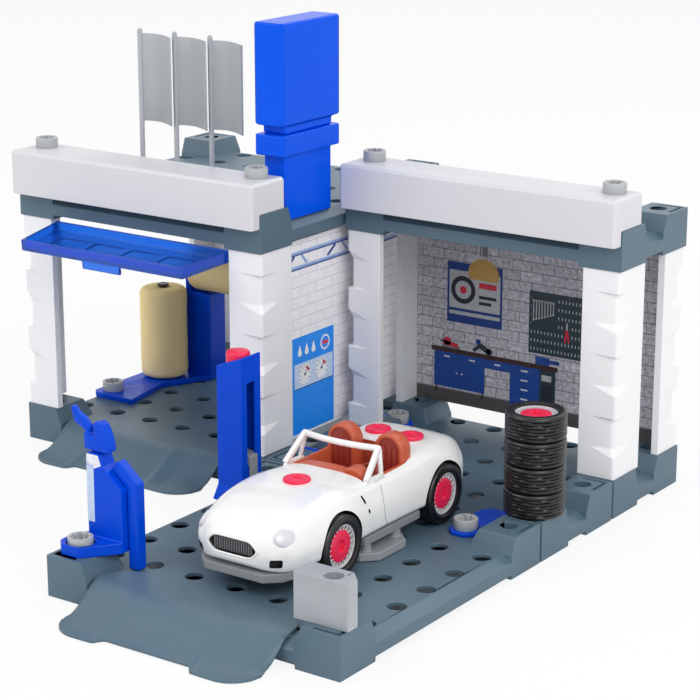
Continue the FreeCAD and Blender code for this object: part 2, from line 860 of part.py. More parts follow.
hole_x, hole_y = gantry_hole
gap = size("roller_gap")
wash_roller = foam_roller("upright_foam_roller", size("roller_width"), size("roller_length"))
place(wash_roller, hole_x + roller_x, hole_y + roller_y, deck_top + foot_skin + gap)
boom_roller = foam_roller("overhead_foam_roller", size("boom_roller_width"), size("boom_roller_length"))
boom_y = hole_y + column_near + column_y / 2
boom_x = hole_x + column_left + cheek_skin
along = Rotation(Vector(0, 1, 0), 90)
place(boom_roller, boom_x + gap, boom_y, deck_top + boom_z, along)
pin_width = float(size("roller_pin"))
upright_start = Vector(float(hole_x + roller_x), float(hole_y + roller_y), float(deck_top + foot_skin))
upright_pin = roller_pin(upright_start, Vector(0, 0, 1), float(size("roller_length") + 2 * gap),
                         pin_width, pin_width / 3)
overhead_start = Vector(float(boom_x), float(boom_y), float(deck_top + boom_z))
overhead_pin = roller_pin(overhead_start, Vector(1, 0, 0), float(size("boom_roller_length") + 2 * gap),
                          pin_width, pin_width / 3)
roller_pins = add_shape("roller_pins", Part.makeCompound([upright_pin, overhead_pin]))


# Ramps: a bent plate from the floor over the plate's edge, with a bay in its foot.

ramp_reach, ramp_skin, rest = size("ramp_reach"), size("ramp_skin"), size("ramp_rest")
front_ramp = new_body("front_ramp")
slope = sketch_on(front_ramp, "YZ")
lie = deck_top + seat_gap
brow = size("bevel_run") + 3 * seat_gap
add_polygon(slope, [(-ramp_reach, 0), (brow, lie), (rest, lie), (rest, lie + ramp_skin),
                    (brow - seat_gap, lie + ramp_skin), (-ramp_reach, ramp_skin)])
ramp_half = size("ramp_width") / 2
pad(front_ramp, slope, size("ramp_width"), middle=True)
trims = sketch_on(front_ramp, "XY")
trim = size("ramp_corner")
bay, bay_deep = size("ramp_bay_width") / 2, size("ramp_bay_depth")
for side in (-1, 1):
    for level, inward in ((-ramp_reach, 1), (rest, -1)):
        add_polygon(trims, [(side * ramp_half, level), (side * (ramp_half - trim), level),
                            (side * ramp_half, level + inward * trim)])
add_polygon(trims, [(-bay, -ramp_reach), (bay, -ramp_reach), (bay - bay_deep, bay_deep - ramp_reach),
                    (bay_deep - bay, bay_deep - ramp_reach)])
pocket(front_ramp, trims, up=True)
place(front_ramp, yard.x - size("ramp_shift"), yard.front, 0)
wash_ramp = clone("wash_ramp", front_ramp)
place(wash_ramp, wash.x - size("ramp_shift"), wash.front, 0)


# Fuel pump: a boat-shaped foot, an upright, a nozzle that lifts off and a stiff hose.

pump = new_body("pump_body")
stand = sketch_on(pump, "XY")
pump_left, pump_near = size("pump_left"), size("pump_near")
pump_right = pump_left + size("pump_width")
pump_far = pump_near + size("pump_depth")
foot_high = size("pump_foot_skin")
toe_left, toe_near, toe_bevel = size("pump_toe_left"), size("pump_toe_near"), size("pump_toe_bevel")
add_polygon(stand, [(-toe_left, toe_bevel - toe_near), (toe_bevel - toe_left, -toe_near),
                    (toe_bevel, -toe_near), (pump_right, pump_near), (pump_right, pump_far),
                    (pump_left, pump_far), (-toe_left, size("pump_toe_back"))])
pad(pump, stand, foot_high)
pump_tall, pump_drop, pump_seat = size("pump_height"), size("pump_slope"), size("pump_seat")
face = sketch_on(pump, "XZ", -pump_far)
brink, brink_seat = pump_left + pump_drop, size("pump_brink_seat")
add_polygon(face, [(pump_left, 0), (pump_right, foot_high / 2), (pump_right, pump_tall - pump_drop),
                   (brink, pump_tall), (brink - brink_seat, pump_seat), (pump_left, pump_seat)])
pad(pump, face, size("pump_depth"))
bowl = sketch_on(pump, "XY", foot_high)
add_polygon(bowl, regular_points(0, 0, size("screw_head") + 2, 12))
pocket(pump, bowl, foot_high / 2)
bolt_hole = sketch_on(pump, "XY")
add_polygon(bolt_hole, regular_points(0, 0, size("hole_width"), hole_sides))
pocket(pump, bolt_hole, foot_high, up=True)
nozzle_peg = size("nozzle_peg")
peg_x, peg_y = pump_left + nozzle_peg, (pump_near + pump_far) / 2
socket = sketch_on(pump, "XY", pump_seat)
half_socket = nozzle_peg / 2 + seat_gap
add_rectangle(socket, peg_x - half_socket, peg_y - half_socket, peg_x + half_socket, peg_y + half_socket)
pocket(pump, socket, nozzle_peg + seat_gap)
place(pump, *pump_hole, block_top)

NOZZLE_EDGE = [
    # spout tip, trigger notch, round grip and heel, from the peg's left side
    (-16.8, 28.2), (-13, 29), (-4.5, 13.2), (1.5, 16.2), (4.3, 21.2), (8.3, 22.7), (11.5, 20.7),
    (15.5, 13.7), (18, 2.2), (17.8, 0), (-4.3, 0), (-4.3, 7.2), (-14.7, 18.9),
]
nozzle = new_body("pump_nozzle")
outline = sketch_on(nozzle, "XZ")
add_polygon(outline, NOZZLE_EDGE)
pad(nozzle, outline, size("nozzle_skin"), middle=True)
plug = sketch_on(nozzle, "XY")
add_rectangle(plug, nozzle_peg / 2, -nozzle_peg / 2, nozzle_peg * 1.5, nozzle_peg / 2)
pad(nozzle, plug, nozzle_peg, down=True)
place(nozzle, pump_hole[0] + pump_left, pump_hole[1] + peg_y, block_top + pump_seat + seat_gap)

hose = new_body("pump_hose")
bend = sketch_on(hose, "XZ")
thick = size("hose_width")
run_x, run_z = pump_right - brink, pump_drop
length = math.hypot(float(run_x), float(run_z))
out_x, out_z = run_z / length, run_x / length
near_x = brink + brink_seat + out_x * seat_gap
near_z = pump_tall - brink_seat * run_z / run_x + out_z * seat_gap
low_x, floor_z = pump_right + seat_gap, deck_top - block_top + seat_gap
steep = run_z / run_x
far_x, far_z = near_x + out_x * thick, near_z + out_z * thick
add_polygon(bend, [(near_x, near_z), (far_x, far_z),
                   (low_x + thick, far_z - steep * (low_x + thick - far_x)), (low_x + thick, floor_z),
                   (low_x, floor_z), (low_x, near_z - steep * (low_x - near_x))])
pad(hose, bend, thick, middle=True)
place(hose, pump_hole[0], pump_hole[1] + pump_far - thick / 2, block_top)


# Car lift: a slotted column, a spindle turned by a knob, and a carriage with arms under the car.

lift_hole = yard.hole(6, 5)
lift_half, lift_high, lift_skin = size("lift_width") / 2, size("lift_height"), size("lift_wall")
lift_drop, flare = size("lift_top_drop"), size("lift_flare")
lift = new_body("lift_column")
base_sketch = sketch_on(lift, "XY")
add_rectangle(base_sketch, -lift_half - flare, -lift_half - flare, lift_half, lift_half)
waist = sketch_on(lift, "XY", 4 * flare)
add_rectangle(waist, -lift_half, -lift_half, lift_half, lift_half)
loft(lift, [base_sketch, waist])
tower_sketch = sketch_on(lift, "XY", 4 * flare)
add_rectangle(tower_sketch, -lift_half, -lift_half, lift_half, lift_half)
pad(lift, tower_sketch, lift_high - 4 * flare)
slant = sketch_on(lift, "XZ")
add_polygon(slant, [(-lift_half, lift_high - lift_drop), (lift_half, lift_high), (-lift_half, lift_high)])
cut_across(lift, slant)
well = sketch_on(lift, "XY", lift_skin)
inner = lift_half - lift_skin
add_rectangle(well, -inner, -inner, inner, inner)
pocket(lift, well, up=True)
knob_seat = lift_high - lift_drop
notch = sketch_on(lift, "XY", knob_seat)
add_rectangle(notch, -lift_half, -inner, inner, lift_half)
pocket(lift, notch, up=True)
slot = sketch_on(lift, "YZ", lift_half)
slot_half = size("lift_slot_width") / 2
add_rectangle(slot, -slot_half, size("lift_slot_low"), slot_half, size("lift_slot_high"))
pocket(lift, slot, 2 * lift_skin)
add_pegs(lift, [(0, 0)], size("peg_length"))
place(lift, *lift_hole, deck_top)

spindle_radius = size("spindle_width") / 2
spindle = new_body("lift_spindle")
rod = sketch_on(spindle, "XY")
add_circle(rod, 0, 0, spindle_radius)
pad(spindle, rod, knob_seat - lift_skin - 2 * seat_gap)
place(spindle, *lift_hole, deck_top + lift_skin + seat_gap)

knob = new_body("lift_knob")
grip_disc = sketch_on(knob, "XY")
add_polygon(grip_disc, regular_points(0, 0, size("knob_width"), 12, corners=True))
pad(knob, grip_disc, size("knob_rise"))
place(knob, *lift_hole, deck_top + knob_seat)

carriage = new_body("lift_carriage")
slider = sketch_on(carriage, "XY", size("lift_slot_low") + seat_gap)
slide_half = inner - seat_gap
add_rectangle(slider, -slide_half, -slide_half, slide_half, slide_half)
neck = size("carriage_neck")
pad(carriage, slider, neck)
link_left, link_right = lift_half + seat_gap, lift_half + seat_gap + lift_skin
tie = sketch_on(carriage, "XY", size("lift_slot_low") + seat_gap)
tie_half = slot_half - seat_gap
add_rectangle(tie, 0, -tie_half, link_right, tie_half)
pad(carriage, tie, neck)
drop = sketch_on(carriage, "XY", seat_gap)
add_rectangle(drop, link_left, -tie_half, link_right, tie_half)
pad(carriage, drop, size("lift_slot_low") + neck)
arm = sketch_on(carriage, "XY", seat_gap)
arm_far, arm_wide, arm_nose = size("lift_arm_reach"), size("lift_arm_width"), size("lift_arm_nose")
arm_near, arm_back = -tie_half - arm_wide, -tie_half
add_polygon(arm, [(link_left, -tie_half), (link_right, -tie_half), (link_right + arm_wide / 2, arm_near),
                  (arm_far - arm_nose, arm_near), (arm_far, arm_near + arm_nose),
                  (arm_far, arm_back - arm_nose), (arm_far - arm_nose, arm_back),
                  (link_right + arm_nose, arm_back), (link_right, tie_half), (link_left, tie_half)])
pad(carriage, arm, size("lift_arm_skin"))
pads = sketch_on(carriage, "XY", seat_gap + size("lift_arm_skin"))
pad_wide = size("lift_pad_width")
for pad_x in (size("lift_pad_near"), size("lift_pad_near") + size("lift_pad_span")):
    for pad_y in (arm_near + pad_wide, arm_back - pad_wide):
        add_polygon(pads, regular_points(pad_x, pad_y, pad_wide, 8))
pad(carriage, pads, size("car_sill_low") - size("lift_arm_skin") - 2 * seat_gap)
thread = sketch_on(carriage, "XY", size("lift_slot_low"))
add_polygon(thread, regular_points(0, 0, 2 * (spindle_radius + size("pin_fit")), 12))
pocket(carriage, thread, neck + 2 * seat_gap, up=True)
place(carriage, *lift_hole, deck_top)


# Corner stop block, plugged on the front plate's right block.

stop = new_body("corner_stop_block")
plan = sketch_on(stop, "XY")
stop_right = hole_margin - seat_gap
stop_near = 0 - size("stop_setback")
stop_far, bite = stop_near + size("stop_depth"), size("stop_chamfer")
add_polygon(plan, [(stop_right - size("stop_length"), stop_near), (stop_right, stop_near),
                   (stop_right, stop_far - bite), (stop_right - bite, stop_far),
                   (stop_right - size("stop_length"), stop_far)])
pad(stop, plan, size("stop_height"))
star = sketch_on(stop, "XY", size("stop_height"))
add_polygon(star, regular_points(0, 0, size("screw_socket") * 1.4, 8))
pocket(stop, star, size("stop_height") / 3)
add_pegs(stop, [(0, 0)], size("peg_length"))
place(stop, *yard.hole(0, 0), block_top)


# Sign tower on the wash roof: a plugged stem with a collar, and the tall sign box on it.


def block(body, half_x, half_y, low, height):
    sketch = sketch_on(body, "XY", low)
    add_rectangle(sketch, -half_x, -half_y, half_x, half_y)
    return pad(body, sketch, height)


stem_high, collar_high = size("tower_stem_height"), size("tower_collar_height")
stem = new_body("tower_stem")
block(stem, size("tower_stem_x") / 2, size("tower_stem_y") / 2, 0, stem_high)
block(stem, size("tower_collar_x") / 2, size("tower_collar_y") / 2, stem_high, collar_high)
tower_bevel = size("tower_bevel")
bevel_edges(stem, tower_bevel, lambda box: box.ZLength > float(collar_high) / 2
            and box.XLength + box.YLength < 1)
add_pegs(stem, [(0, -hole_pitch / 2), (0, hole_pitch / 2)], size("peg_length"))
roof_deck = roof_level + deck_top
tower_x, tower_y = wash_roof.hole(0, 1)
place(stem, tower_x, tower_y + hole_pitch / 2, roof_deck)

sign = new_body("tower_sign")
neck_high = size("tower_neck_height")
block(sign, size("tower_stem_x") / 2, size("tower_stem_y") / 2, 0, neck_high)
block(sign, size("tower_collar_x") / 2, size("tower_collar_y") / 2, neck_high, size("tower_sign_height"))
bevel_edges(sign, tower_bevel, lambda box: box.ZLength > float(neck_high) + 1
            and box.XLength + box.YLength < 1)
place(sign, tower_x, tower_y + hole_pitch / 2, roof_deck + stem_high + collar_high)


# Flags: a waving sheet moulded on a round pole with a plug.


def flag(label, x, y):
    """A bowed sheet whose free edge passes in front of the next pole."""
    pole_radius, tall = float(size("flag_pole")) / 2, float(size("flag_pole_height"))
    span, skin, high = float(size("flag_width")), float(size("flag_skin")), float(size("flag_height"))
    bow, turn = float(size("flag_bow")), float(size("flag_turn"))
    pole = prism(0, 0, 0, tall, 2 * pole_radius, 8)
    peg = prism(0, 0, -size("peg_length"), 0, plug_width, hole_sides)
    arcs = [Part.Arc(Vector(0, side, 0), Vector(span / 2, bow + side, 0),
                     Vector(span, side - turn, 0)).toShape()
            for side in (-skin / 2, skin / 2)]
    ends = [Part.LineSegment(Vector(x_end, y_end - skin / 2, 0), Vector(x_end, y_end + skin / 2, 0)).toShape()
            for x_end, y_end in ((0, 0), (span, -turn))]
    outline = Part.Wire(Part.__sortEdges__(arcs + ends))
    cloth = Part.Face(outline).extrude(Vector(0, 0, high))
    cloth.translate(Vector(0, 0, tall - high - 2 * pole_radius))
    feature = add_shape(label, pole.fuse([peg, cloth]).removeSplitter())
    place(feature, x, y, roof_deck)
    return feature


flags = [flag(f"{name}_flag", *wash_roof.hole(column, 1))
         for name, column in (("right", 2), ("centre", 3), ("left", 4))]


# Wheels: a tyre, a rim inside it and a hub screw, about an axis along X.

tyre_radius, tyre_half = size("tyre_width") / 2, size("tyre_depth") / 2
bore_radius, axle_radius = size("tyre_bore") / 2, size("axle_width") / 2
shoulder = size("tyre_shoulder")
rim_half = size("rim_skin") / 2


def ring_sketch(body, along, width, corners=False):
    """A polygon with as many sides as the tyre has tread blocks, across the wheel's axis."""
    sketch = sketch_on(body, "YZ", along)
    add_polygon(sketch, regular_points(0, 0, width, int(size("tread_count")), corners))
    return sketch


tyre = new_body("tyre")
pad(tyre, ring_sketch(tyre, 0, 2 * tyre_radius, corners=True), size("tyre_depth"), middle=True)
bevel_edges(tyre, shoulder, lambda box: box.XLength < 1)
pocket(tyre, ring_sketch(tyre, tyre_half, 2 * bore_radius))

rim_out, dish = bore_radius - size("press_gap"), size("rim_dish")
rim = new_body("rim")
pad(rim, ring_sketch(rim, 0, 2 * rim_out), size("rim_skin"), middle=True)
pocket(rim, ring_sketch(rim, rim_half, 2 * (rim_out - size("rim_lip"))), dish)
axle_bore = sketch_on(rim, "YZ", rim_half)
add_polygon(axle_bore, regular_points(0, 0, 2 * axle_radius, 8))
pocket(rim, axle_bore)

hub = new_body("hub")
pad(hub, ring_sketch(hub, 0, size("hub_width")), size("hub_rise"))


def pair(label, master, offset, x, y, z):
    """Two copies of a wheel's piece, one at each end of an axle."""
    copies = []
    for side, turn in ((-1, Rotation(Vector(0, 0, 1), 180)), (1, Rotation())):
        copy = clone(f"{label}_{'left' if side < 0 else 'right'}", master)
        place(copy, side * offset, 0, 0, turn)
        copies.append(copy)
    both = doc.addObject("Part::Compound", label)
    both.Label = label
    both.Links = copies
    place(both, x, y, z)
    return both


car_x = east - size("car_inset")
car_front = yard.front + size("car_nose_y")
wheel_z = deck_top + tyre_radius + seat_gap
tyre_at = size("car_width") / 2 - tyre_half
rim_at = tyre_at + size("rim_offset")
hub_at = rim_at + rim_half - dish
axle_places = {"front": size("car_front_overhang"),
               "rear": size("car_front_overhang") + size("car_wheelbase")}
wheel_nodes = []
for name, axle_y in axle_places.items():
    y = car_front + axle_y
    shaft = new_body(f"{name}_axle")
    section = sketch_on(shaft, "YZ")
    add_circle(section, 0, 0, axle_radius - size("pin_fit"))
    pad(shaft, section, 2 * hub_at, middle=True)
    place(shaft, car_x, y, wheel_z)
    wheel_nodes += [shaft, pair(f"{name}_tyres", tyre, tyre_at, car_x, y, wheel_z),
                    pair(f"{name}_rims", rim, rim_at, car_x, y, wheel_z),
                    pair(f"{name}_hub_screws", hub, hub_at, car_x, y, wheel_z)]

stack_nodes = []
stack_hole = middle.hole(0, 0)
flat = Rotation(Vector(0, 1, 0), -90)
stack_count = int(size("stack_count"))
for number in range(stack_count):
    spare = clone(f"spare_tyre_{number + 1}", tyre)
    place(spare, *stack_hole, block_top + tyre_half + number * size("tyre_depth"), flat)
    stack_nodes.append(spare)
top_z = block_top + stack_count * size("tyre_depth") - tyre_half + size("rim_offset")
spare_rim = clone("spare_rim", rim)
place(spare_rim, *stack_hole, top_z, flat)
spare_hub = clone("spare_hub_screw", hub)
place(spare_hub, *stack_hole, top_z + rim_half - dish, flat)
stack_nodes += [spare_rim, spare_hub]


# Car body: sections from nose to tail, joined and then cut for wheels, cockpit and inserts.

CAR_SECTIONS = [
    # from nose, low half, low, belt half, belt, shoulder half, shoulder, crown
    (0, 20, 22, 26, 34, 20, 42, 44),
    (10, 33, 18.7, 38, 32, 30, 46, 49),
    (30, 41, 18.7, 44, 34, 36, 52, 54),
    (64, 43, 18.7, 45, 38, 38, 57, 58.5),
    (104, 41.5, 18.7, 43, 38, 36, 54, 58),
    (150, 41.5, 18.7, 43, 38, 36, 54, 57),
    (191, 43, 18.7, 45, 40, 38, 58, 60),
    (218, 40, 20, 42, 40, 32, 56, 57),
    (236, 28, 26, 30, 38, 22, 48, 49),
]


def car_section(y, low_half, low, belt_half, belt, shoulder_half, shoulder, crown):
    right = [(low_half, low), (belt_half, belt), (shoulder_half, shoulder), (shoulder_half / 2, crown)]
    return [Vector(x, y, z) for x, z in right] + [Vector(-x, y, z) for x, z in reversed(right)]


def flat_face(corners):
    return Part.Face(Part.makePolygon(corners + corners[:1]))


def faceted_hull(sections):
    """A closed solid through the sections, with two flat triangles between each pair of corners."""
    faces = [flat_face(sections[0]), flat_face(sections[-1])]
    count = len(sections[0])
    for near, far in zip(sections, sections[1:]):
        for corner in range(count):
            after = (corner + 1) % count
            if corner in (count // 2 - 1, count - 1):
                faces.append(flat_face([near[corner], near[after], far[after], far[corner]]))
            elif corner < count // 2:
                faces.append(flat_face([near[corner], near[after], far[after]]))
                faces.append(flat_face([near[corner], far[after], far[corner]]))
            else:
                faces.append(flat_face([near[corner], near[after], far[corner]]))
                faces.append(flat_face([near[after], far[after], far[corner]]))
    skin = Part.makeShell(faces)
    skin.sewShape()
    solid = Part.makeSolid(skin)
    if solid.Volume < 0:
        solid.reverse()
    return solid


def bar(start, end, width):
    """A square bar between two points."""
    run = end - start
    square = Part.makePlane(width, width, Vector(-width / 2, -width / 2, 0))
    stick = square.extrude(Vector(0, 0, run.Length))
    stick.Placement = Placement(start, Rotation(Vector(0, 0, 1), run))
    return stick


def across_box(half, near, far, low, high):
    return Part.makeBox(2 * half, far - near, high - low, Vector(-half, near, low))


hull = faceted_hull([car_section(*section) for section in CAR_SECTIONS])
sill_low, sill_high = float(size("car_sill_low")), float(size("car_sill_high"))
well_radius = float(tyre_radius + size("well_gap"))
well_start = float(size("car_width") / 2 - size("tyre_depth") - size("well_gap"))
wheel_local = float(tyre_radius + seat_gap)
gap_here = float(seat_gap)
wells = []
for axle_y in axle_places.values():
    for side in (-1, 1):
        well = prism(0, 0, 0, float(size("car_width")) / 2, 2 * well_radius, int(size("tread_count")))
        well.Placement = Placement(Vector(side * well_start, float(axle_y), wheel_local),
                                   Rotation(Vector(0, 0, 1), Vector(side, 0, 0)))
        wells.append(well)
pit_near, pit_far = float(size("cockpit_front")), float(size("cockpit_back"))
pit_half, pit_floor = float(size("cockpit_width")) / 2, float(size("cockpit_floor"))
screen_top, frame_wide = float(size("windscreen_top")), float(size("frame_width"))
pit = across_box(pit_half, pit_near, pit_far, pit_floor, screen_top)
bearing_half, bearing_deep = float(size("bearing_half")), float(size("bearing_depth")) / 2
bearing_top = wheel_local + float(size("bearing_rise"))
bearings = [across_box(well_start + gap_here, float(axle_y) - bearing_deep - gap_here,
                       float(axle_y) + bearing_deep + gap_here, 0, bearing_top + gap_here)
            for axle_y in axle_places.values()]
grille_half, insert_deep = float(size("grille_width")) / 2, float(size("insert_depth"))
grille_low, grille_high = float(size("grille_low")), float(size("grille_high"))
lamp_low, lamp_high = float(size("lamp_low")), float(size("lamp_high"))
lamp_half, lamp_off = float(size("lamp_width")) / 2, float(size("lamp_offset"))


def front_boxes(grow):
    """The grille's block and the two lamps' blocks, made larger all round by a gap."""
    boxes = [across_box(grille_half + grow, 0, insert_deep + grow, grille_low - grow, grille_high + grow)]
    for side in (-1, 1):
        lens = across_box(lamp_half + grow, 0, 3 * insert_deep + grow, lamp_low - grow, lamp_high + grow)
        lens.translate(Vector(side * lamp_off, 0, 0))
        boxes.append(lens)
    return boxes


lean = float(size("windscreen_lean"))
tub_top = float(size("tub_top"))
foot_half, head_half = pit_half + frame_wide / 2 + 3 * gap_here, pit_half - frame_wide
frame_foot, frame_head = tub_top - frame_wide / 2, screen_top - frame_wide / 2
frame = []
for side in (-1, 1):
    head_end = Vector(side * head_half, pit_near + lean, frame_head)
    frame.append(bar(Vector(side * foot_half, pit_near, frame_foot), head_end, frame_wide))
    frame.append(bar(Vector(side * foot_half, pit_near + 2 * lean, frame_foot), head_end, frame_wide))
rail_half = head_half + frame_wide / 2
frame.append(bar(Vector(-rail_half, pit_near + lean, frame_head),
                 Vector(rail_half, pit_near + lean, frame_head), frame_wide))
shell = hull.cut(wells + [pit] + bearings + front_boxes(gap_here))
car_body = add_shape("car_body", shell.fuse(frame).removeSplitter())
place(car_body, car_x, car_front, deck_top)
inserts = add_shape("car_front_inserts", Part.makeCompound([hull.common(box) for box in front_boxes(0)]))
place(inserts, car_x, car_front, deck_top)

tub_skin, dash_face = float(size("tub_skin")), pit_near + float(size("dash_depth"))
seat_half, seat_off = float(size("seat_width")) / 2, float(size("seat_offset"))
seat_deep, cushion_deep = float(size("seat_back_depth")), float(size("seat_cushion_depth"))
seat_bow, seat_foot = float(size("seat_top")) - seat_half, pit_floor + tub_skin
tub_outer = across_box(pit_half - gap_here, pit_near + gap_here, pit_far - gap_here,
                       pit_floor + gap_here, tub_top)
tub_inner = across_box(pit_half - tub_skin, dash_face, pit_far - seat_deep / 2, seat_foot, tub_top)
seats = []
for side in (-1, 1):
    back_far = pit_far - gap_here - 1
    back = across_box(seat_half, back_far - seat_deep, back_far, seat_foot, seat_bow)
    crown = prism(0, 0, 0, seat_deep, 2 * seat_half, 12)
    crown.Placement = Placement(Vector(0, back_far - seat_deep, seat_bow),
                                Rotation(Vector(0, 0, 1), Vector(0, 1, 0)))
    cushion = across_box(seat_half, back_far - seat_deep - cushion_deep, back_far, seat_foot,
                         seat_foot + float(size("seat_cushion_rise")))
    seat = back.fuse([crown, cushion])
    seat.translate(Vector(side * seat_off, 0, 0))
    seats.append(seat)
interior = add_shape("car_interior", tub_outer.cut(tub_inner).fuse(seats).removeSplitter())
place(interior, car_x, car_front, deck_top)

ring_radius = float(size("steering_ring")) / 2
ring_middle = float(size("steering_width")) / 2 - ring_radius
steering_lean = float(size("steering_lean"))
steering_z = tub_top - ring_radius
column_run = Vector(0, -math.cos(math.radians(steering_lean)), -math.sin(math.radians(steering_lean)))
ring_y = dash_face + 2 * ring_middle * math.sin(math.radians(steering_lean)) + 2 * ring_radius
column_length = (ring_y - dash_face - gap_here) / math.cos(math.radians(steering_lean))
ring_disc = prism(0, 0, -ring_radius, ring_radius, 2 * (ring_middle + ring_radius), 12)
wheel_ring = ring_disc.cut(prism(0, 0, -ring_radius, ring_radius, 2 * (ring_middle - ring_radius), 12))
wheel_ring.Placement = Placement(Vector(0, 0, 0), Rotation(Vector(0, 0, -1), column_run))
column = prism(0, 0, 0, column_length - ring_radius * math.tan(math.radians(steering_lean)),
               2 * ring_radius, 8)
column.Placement = Placement(Vector(0, 0, 0), Rotation(Vector(0, 0, 1), column_run))
spoke = Part.makeBox(2 * ring_middle, 2 * ring_radius, 2 * ring_radius,
                     Vector(-ring_middle, -ring_radius, -ring_radius))
steering = wheel_ring.fuse([column, spoke]).removeSplitter()
steering.translate(Vector(seat_off, ring_y, steering_z))
steering_wheel = add_shape("steering_wheel", Part.makeCompound([steering]))
place(steering_wheel, car_x, car_front, deck_top)

CHASSIS_EDGE = [
    # half width, from nose
    (24, 1), (34, 10), (40, 34), (22.5, 37), (22.5, 91), (41, 94), (41, 162), (22.5, 165), (22.5, 218),
    (36, 221), (27, 234),
]
edge_points = [Vector(x, y, sill_low) for x, y in CHASSIS_EDGE]
edge_points += [Vector(-x, y, sill_low) for x, y in reversed(CHASSIS_EDGE)]
pan = flat_face(edge_points).extrude(Vector(0, 0, sill_high - sill_low))
blocks = [across_box(bearing_half, float(axle_y) - bearing_deep, float(axle_y) + bearing_deep,
                     sill_low, bearing_top)
          for axle_y in axle_places.values()]
bores = []
for axle_y in axle_places.values():
    bore = prism(0, 0, 0, 4 * bearing_half, 2 * axle_radius, 12)
    bore.Placement = Placement(Vector(-2 * bearing_half, float(axle_y), wheel_local),
                               Rotation(Vector(0, 0, 1), Vector(1, 0, 0)))
    bores.append(bore)
chassis = add_shape("car_chassis", pan.fuse(blocks).removeSplitter().cut(bores))
place(chassis, car_x, car_front, deck_top)

cap_rise = float(size("cap_rise"))
boot_off = float(size("boot_cap_offset"))
cap_places = [(0, size("bonnet_cap_y"), size("bonnet_cap_level")),
              (-boot_off, size("boot_cap_y"), size("boot_cap_level")),
              (boot_off, size("boot_cap_y"), size("boot_cap_level"))]
body_caps = add_shape("body_screw_caps", Part.makeCompound(
    [prism(x, y, float(z), float(z) + cap_rise, size("cap_width"), 12) for x, y, z in cap_places]))
place(body_caps, car_x, car_front, deck_top)


# Every sub-part that goes into a file of its own.

nodes = [body for body, deck in plates.values()] + list(pillars.values())
nodes += [wash_fascia, workshop_fascia, back_panel, side_panel, fastening_screws, joining_clips, door]
nodes += [gantry, wash_roller, boom_roller, roller_pins, front_ramp, wash_ramp, pump, nozzle, hose]
nodes += [lift, spindle, knob, carriage, stop, stem, sign] + flags + wheel_nodes + stack_nodes
nodes += [car_body, inserts, interior, steering_wheel, chassis, body_caps]

doc.recompute()
broken = [thing.Name for thing in doc.Objects if "Invalid" in thing.State or "Error" in thing.State]
broken += [node.Label for node in nodes if node.Shape.isNull() or not node.Shape.isValid()]
if broken:
    raise SystemExit("not built: " + ", ".join(broken))
os.makedirs("parts", exist_ok=True)
for node in nodes:
    box = node.Shape.BoundBox
    print(f"{node.Label:28s} solids {len(node.Shape.Solids)}  volume {node.Shape.Volume / 1000:8.2f}  "
          f"x {box.XMin:7.1f} {box.XMax:7.1f}  y {box.YMin:7.1f} {box.YMax:7.1f}  "
          f"z {box.ZMin:6.1f} {box.ZMax:6.1f}")
    node.Shape.exportStep("parts/" + node.Label + ".step")
print(len(nodes), "sub-parts")
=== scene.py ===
import bpy
import bmesh
import json
import math
import numpy as np
from mathutils import Vector, Matrix


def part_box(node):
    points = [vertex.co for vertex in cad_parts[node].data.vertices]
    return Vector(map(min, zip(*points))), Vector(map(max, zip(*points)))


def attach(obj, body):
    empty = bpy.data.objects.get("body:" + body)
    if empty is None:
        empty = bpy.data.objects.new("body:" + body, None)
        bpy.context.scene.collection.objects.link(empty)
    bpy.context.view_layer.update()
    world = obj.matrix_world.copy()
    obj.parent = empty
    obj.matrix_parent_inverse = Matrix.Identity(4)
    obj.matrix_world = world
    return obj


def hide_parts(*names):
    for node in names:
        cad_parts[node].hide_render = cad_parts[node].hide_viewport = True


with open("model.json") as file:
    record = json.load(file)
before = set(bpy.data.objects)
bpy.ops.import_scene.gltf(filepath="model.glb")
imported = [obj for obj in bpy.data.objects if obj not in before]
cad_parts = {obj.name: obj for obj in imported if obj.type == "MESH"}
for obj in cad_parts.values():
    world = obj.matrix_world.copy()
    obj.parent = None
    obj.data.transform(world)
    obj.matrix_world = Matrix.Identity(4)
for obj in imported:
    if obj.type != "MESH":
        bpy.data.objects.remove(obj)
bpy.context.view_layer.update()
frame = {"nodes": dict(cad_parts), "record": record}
mm = 0.001  # pieces are worked out in millimetres
print("frame loaded")


cameraView = dict(place=(0.9616, -1.2394, 0.5747), azimuth=35.04, elevation=16.14, lens=113.09)


def addCamera(place, azimuth, elevation, lens):
    # looks along the azimuth and elevation, with the picture's middle on the view line
    camera = bpy.data.objects.new("camera", bpy.data.cameras.new("camera"))
    bpy.context.scene.collection.objects.link(camera)
    az, el = math.radians(azimuth), math.radians(elevation)
    back = Vector((math.sin(az) * math.cos(el), -math.cos(az) * math.cos(el), math.sin(el)))
    camera.location = place
    camera.rotation_euler = (-back).to_track_quat("-Z", "Y").to_euler()
    camera.data.lens = lens
    camera.data.sensor_width = 36
    camera.data.clip_start = 0.05
    bpy.context.scene.camera = camera


studio = dict(sky=0.66, aim=(0, 0, 0.1), lamps=[  # place, width, watts
    ((-1.3, -1.7, 1.9), 1.6, 19.0), ((1.9, -1.0, 1.5), 1.4, 25.0), ((0.2, 1.6, 1.9), 1.6, 12.0)])
floorLook = dict(half=3.0, level=-0.0004, tone=0.86, glow=0.86, covered=[  # middle and half widths under the plates
    ((0.1195, 0.0045), (0.1135, 0.2205)), ((-0.1255, 0.1445), (0.1135, 0.1135))])


def addNode(tree, kind, **settings):
    # a shader node with its own settings
    node = tree.nodes.new("ShaderNode" + kind)
    for label, value in settings.items():
        setattr(node, label, value)
    return node


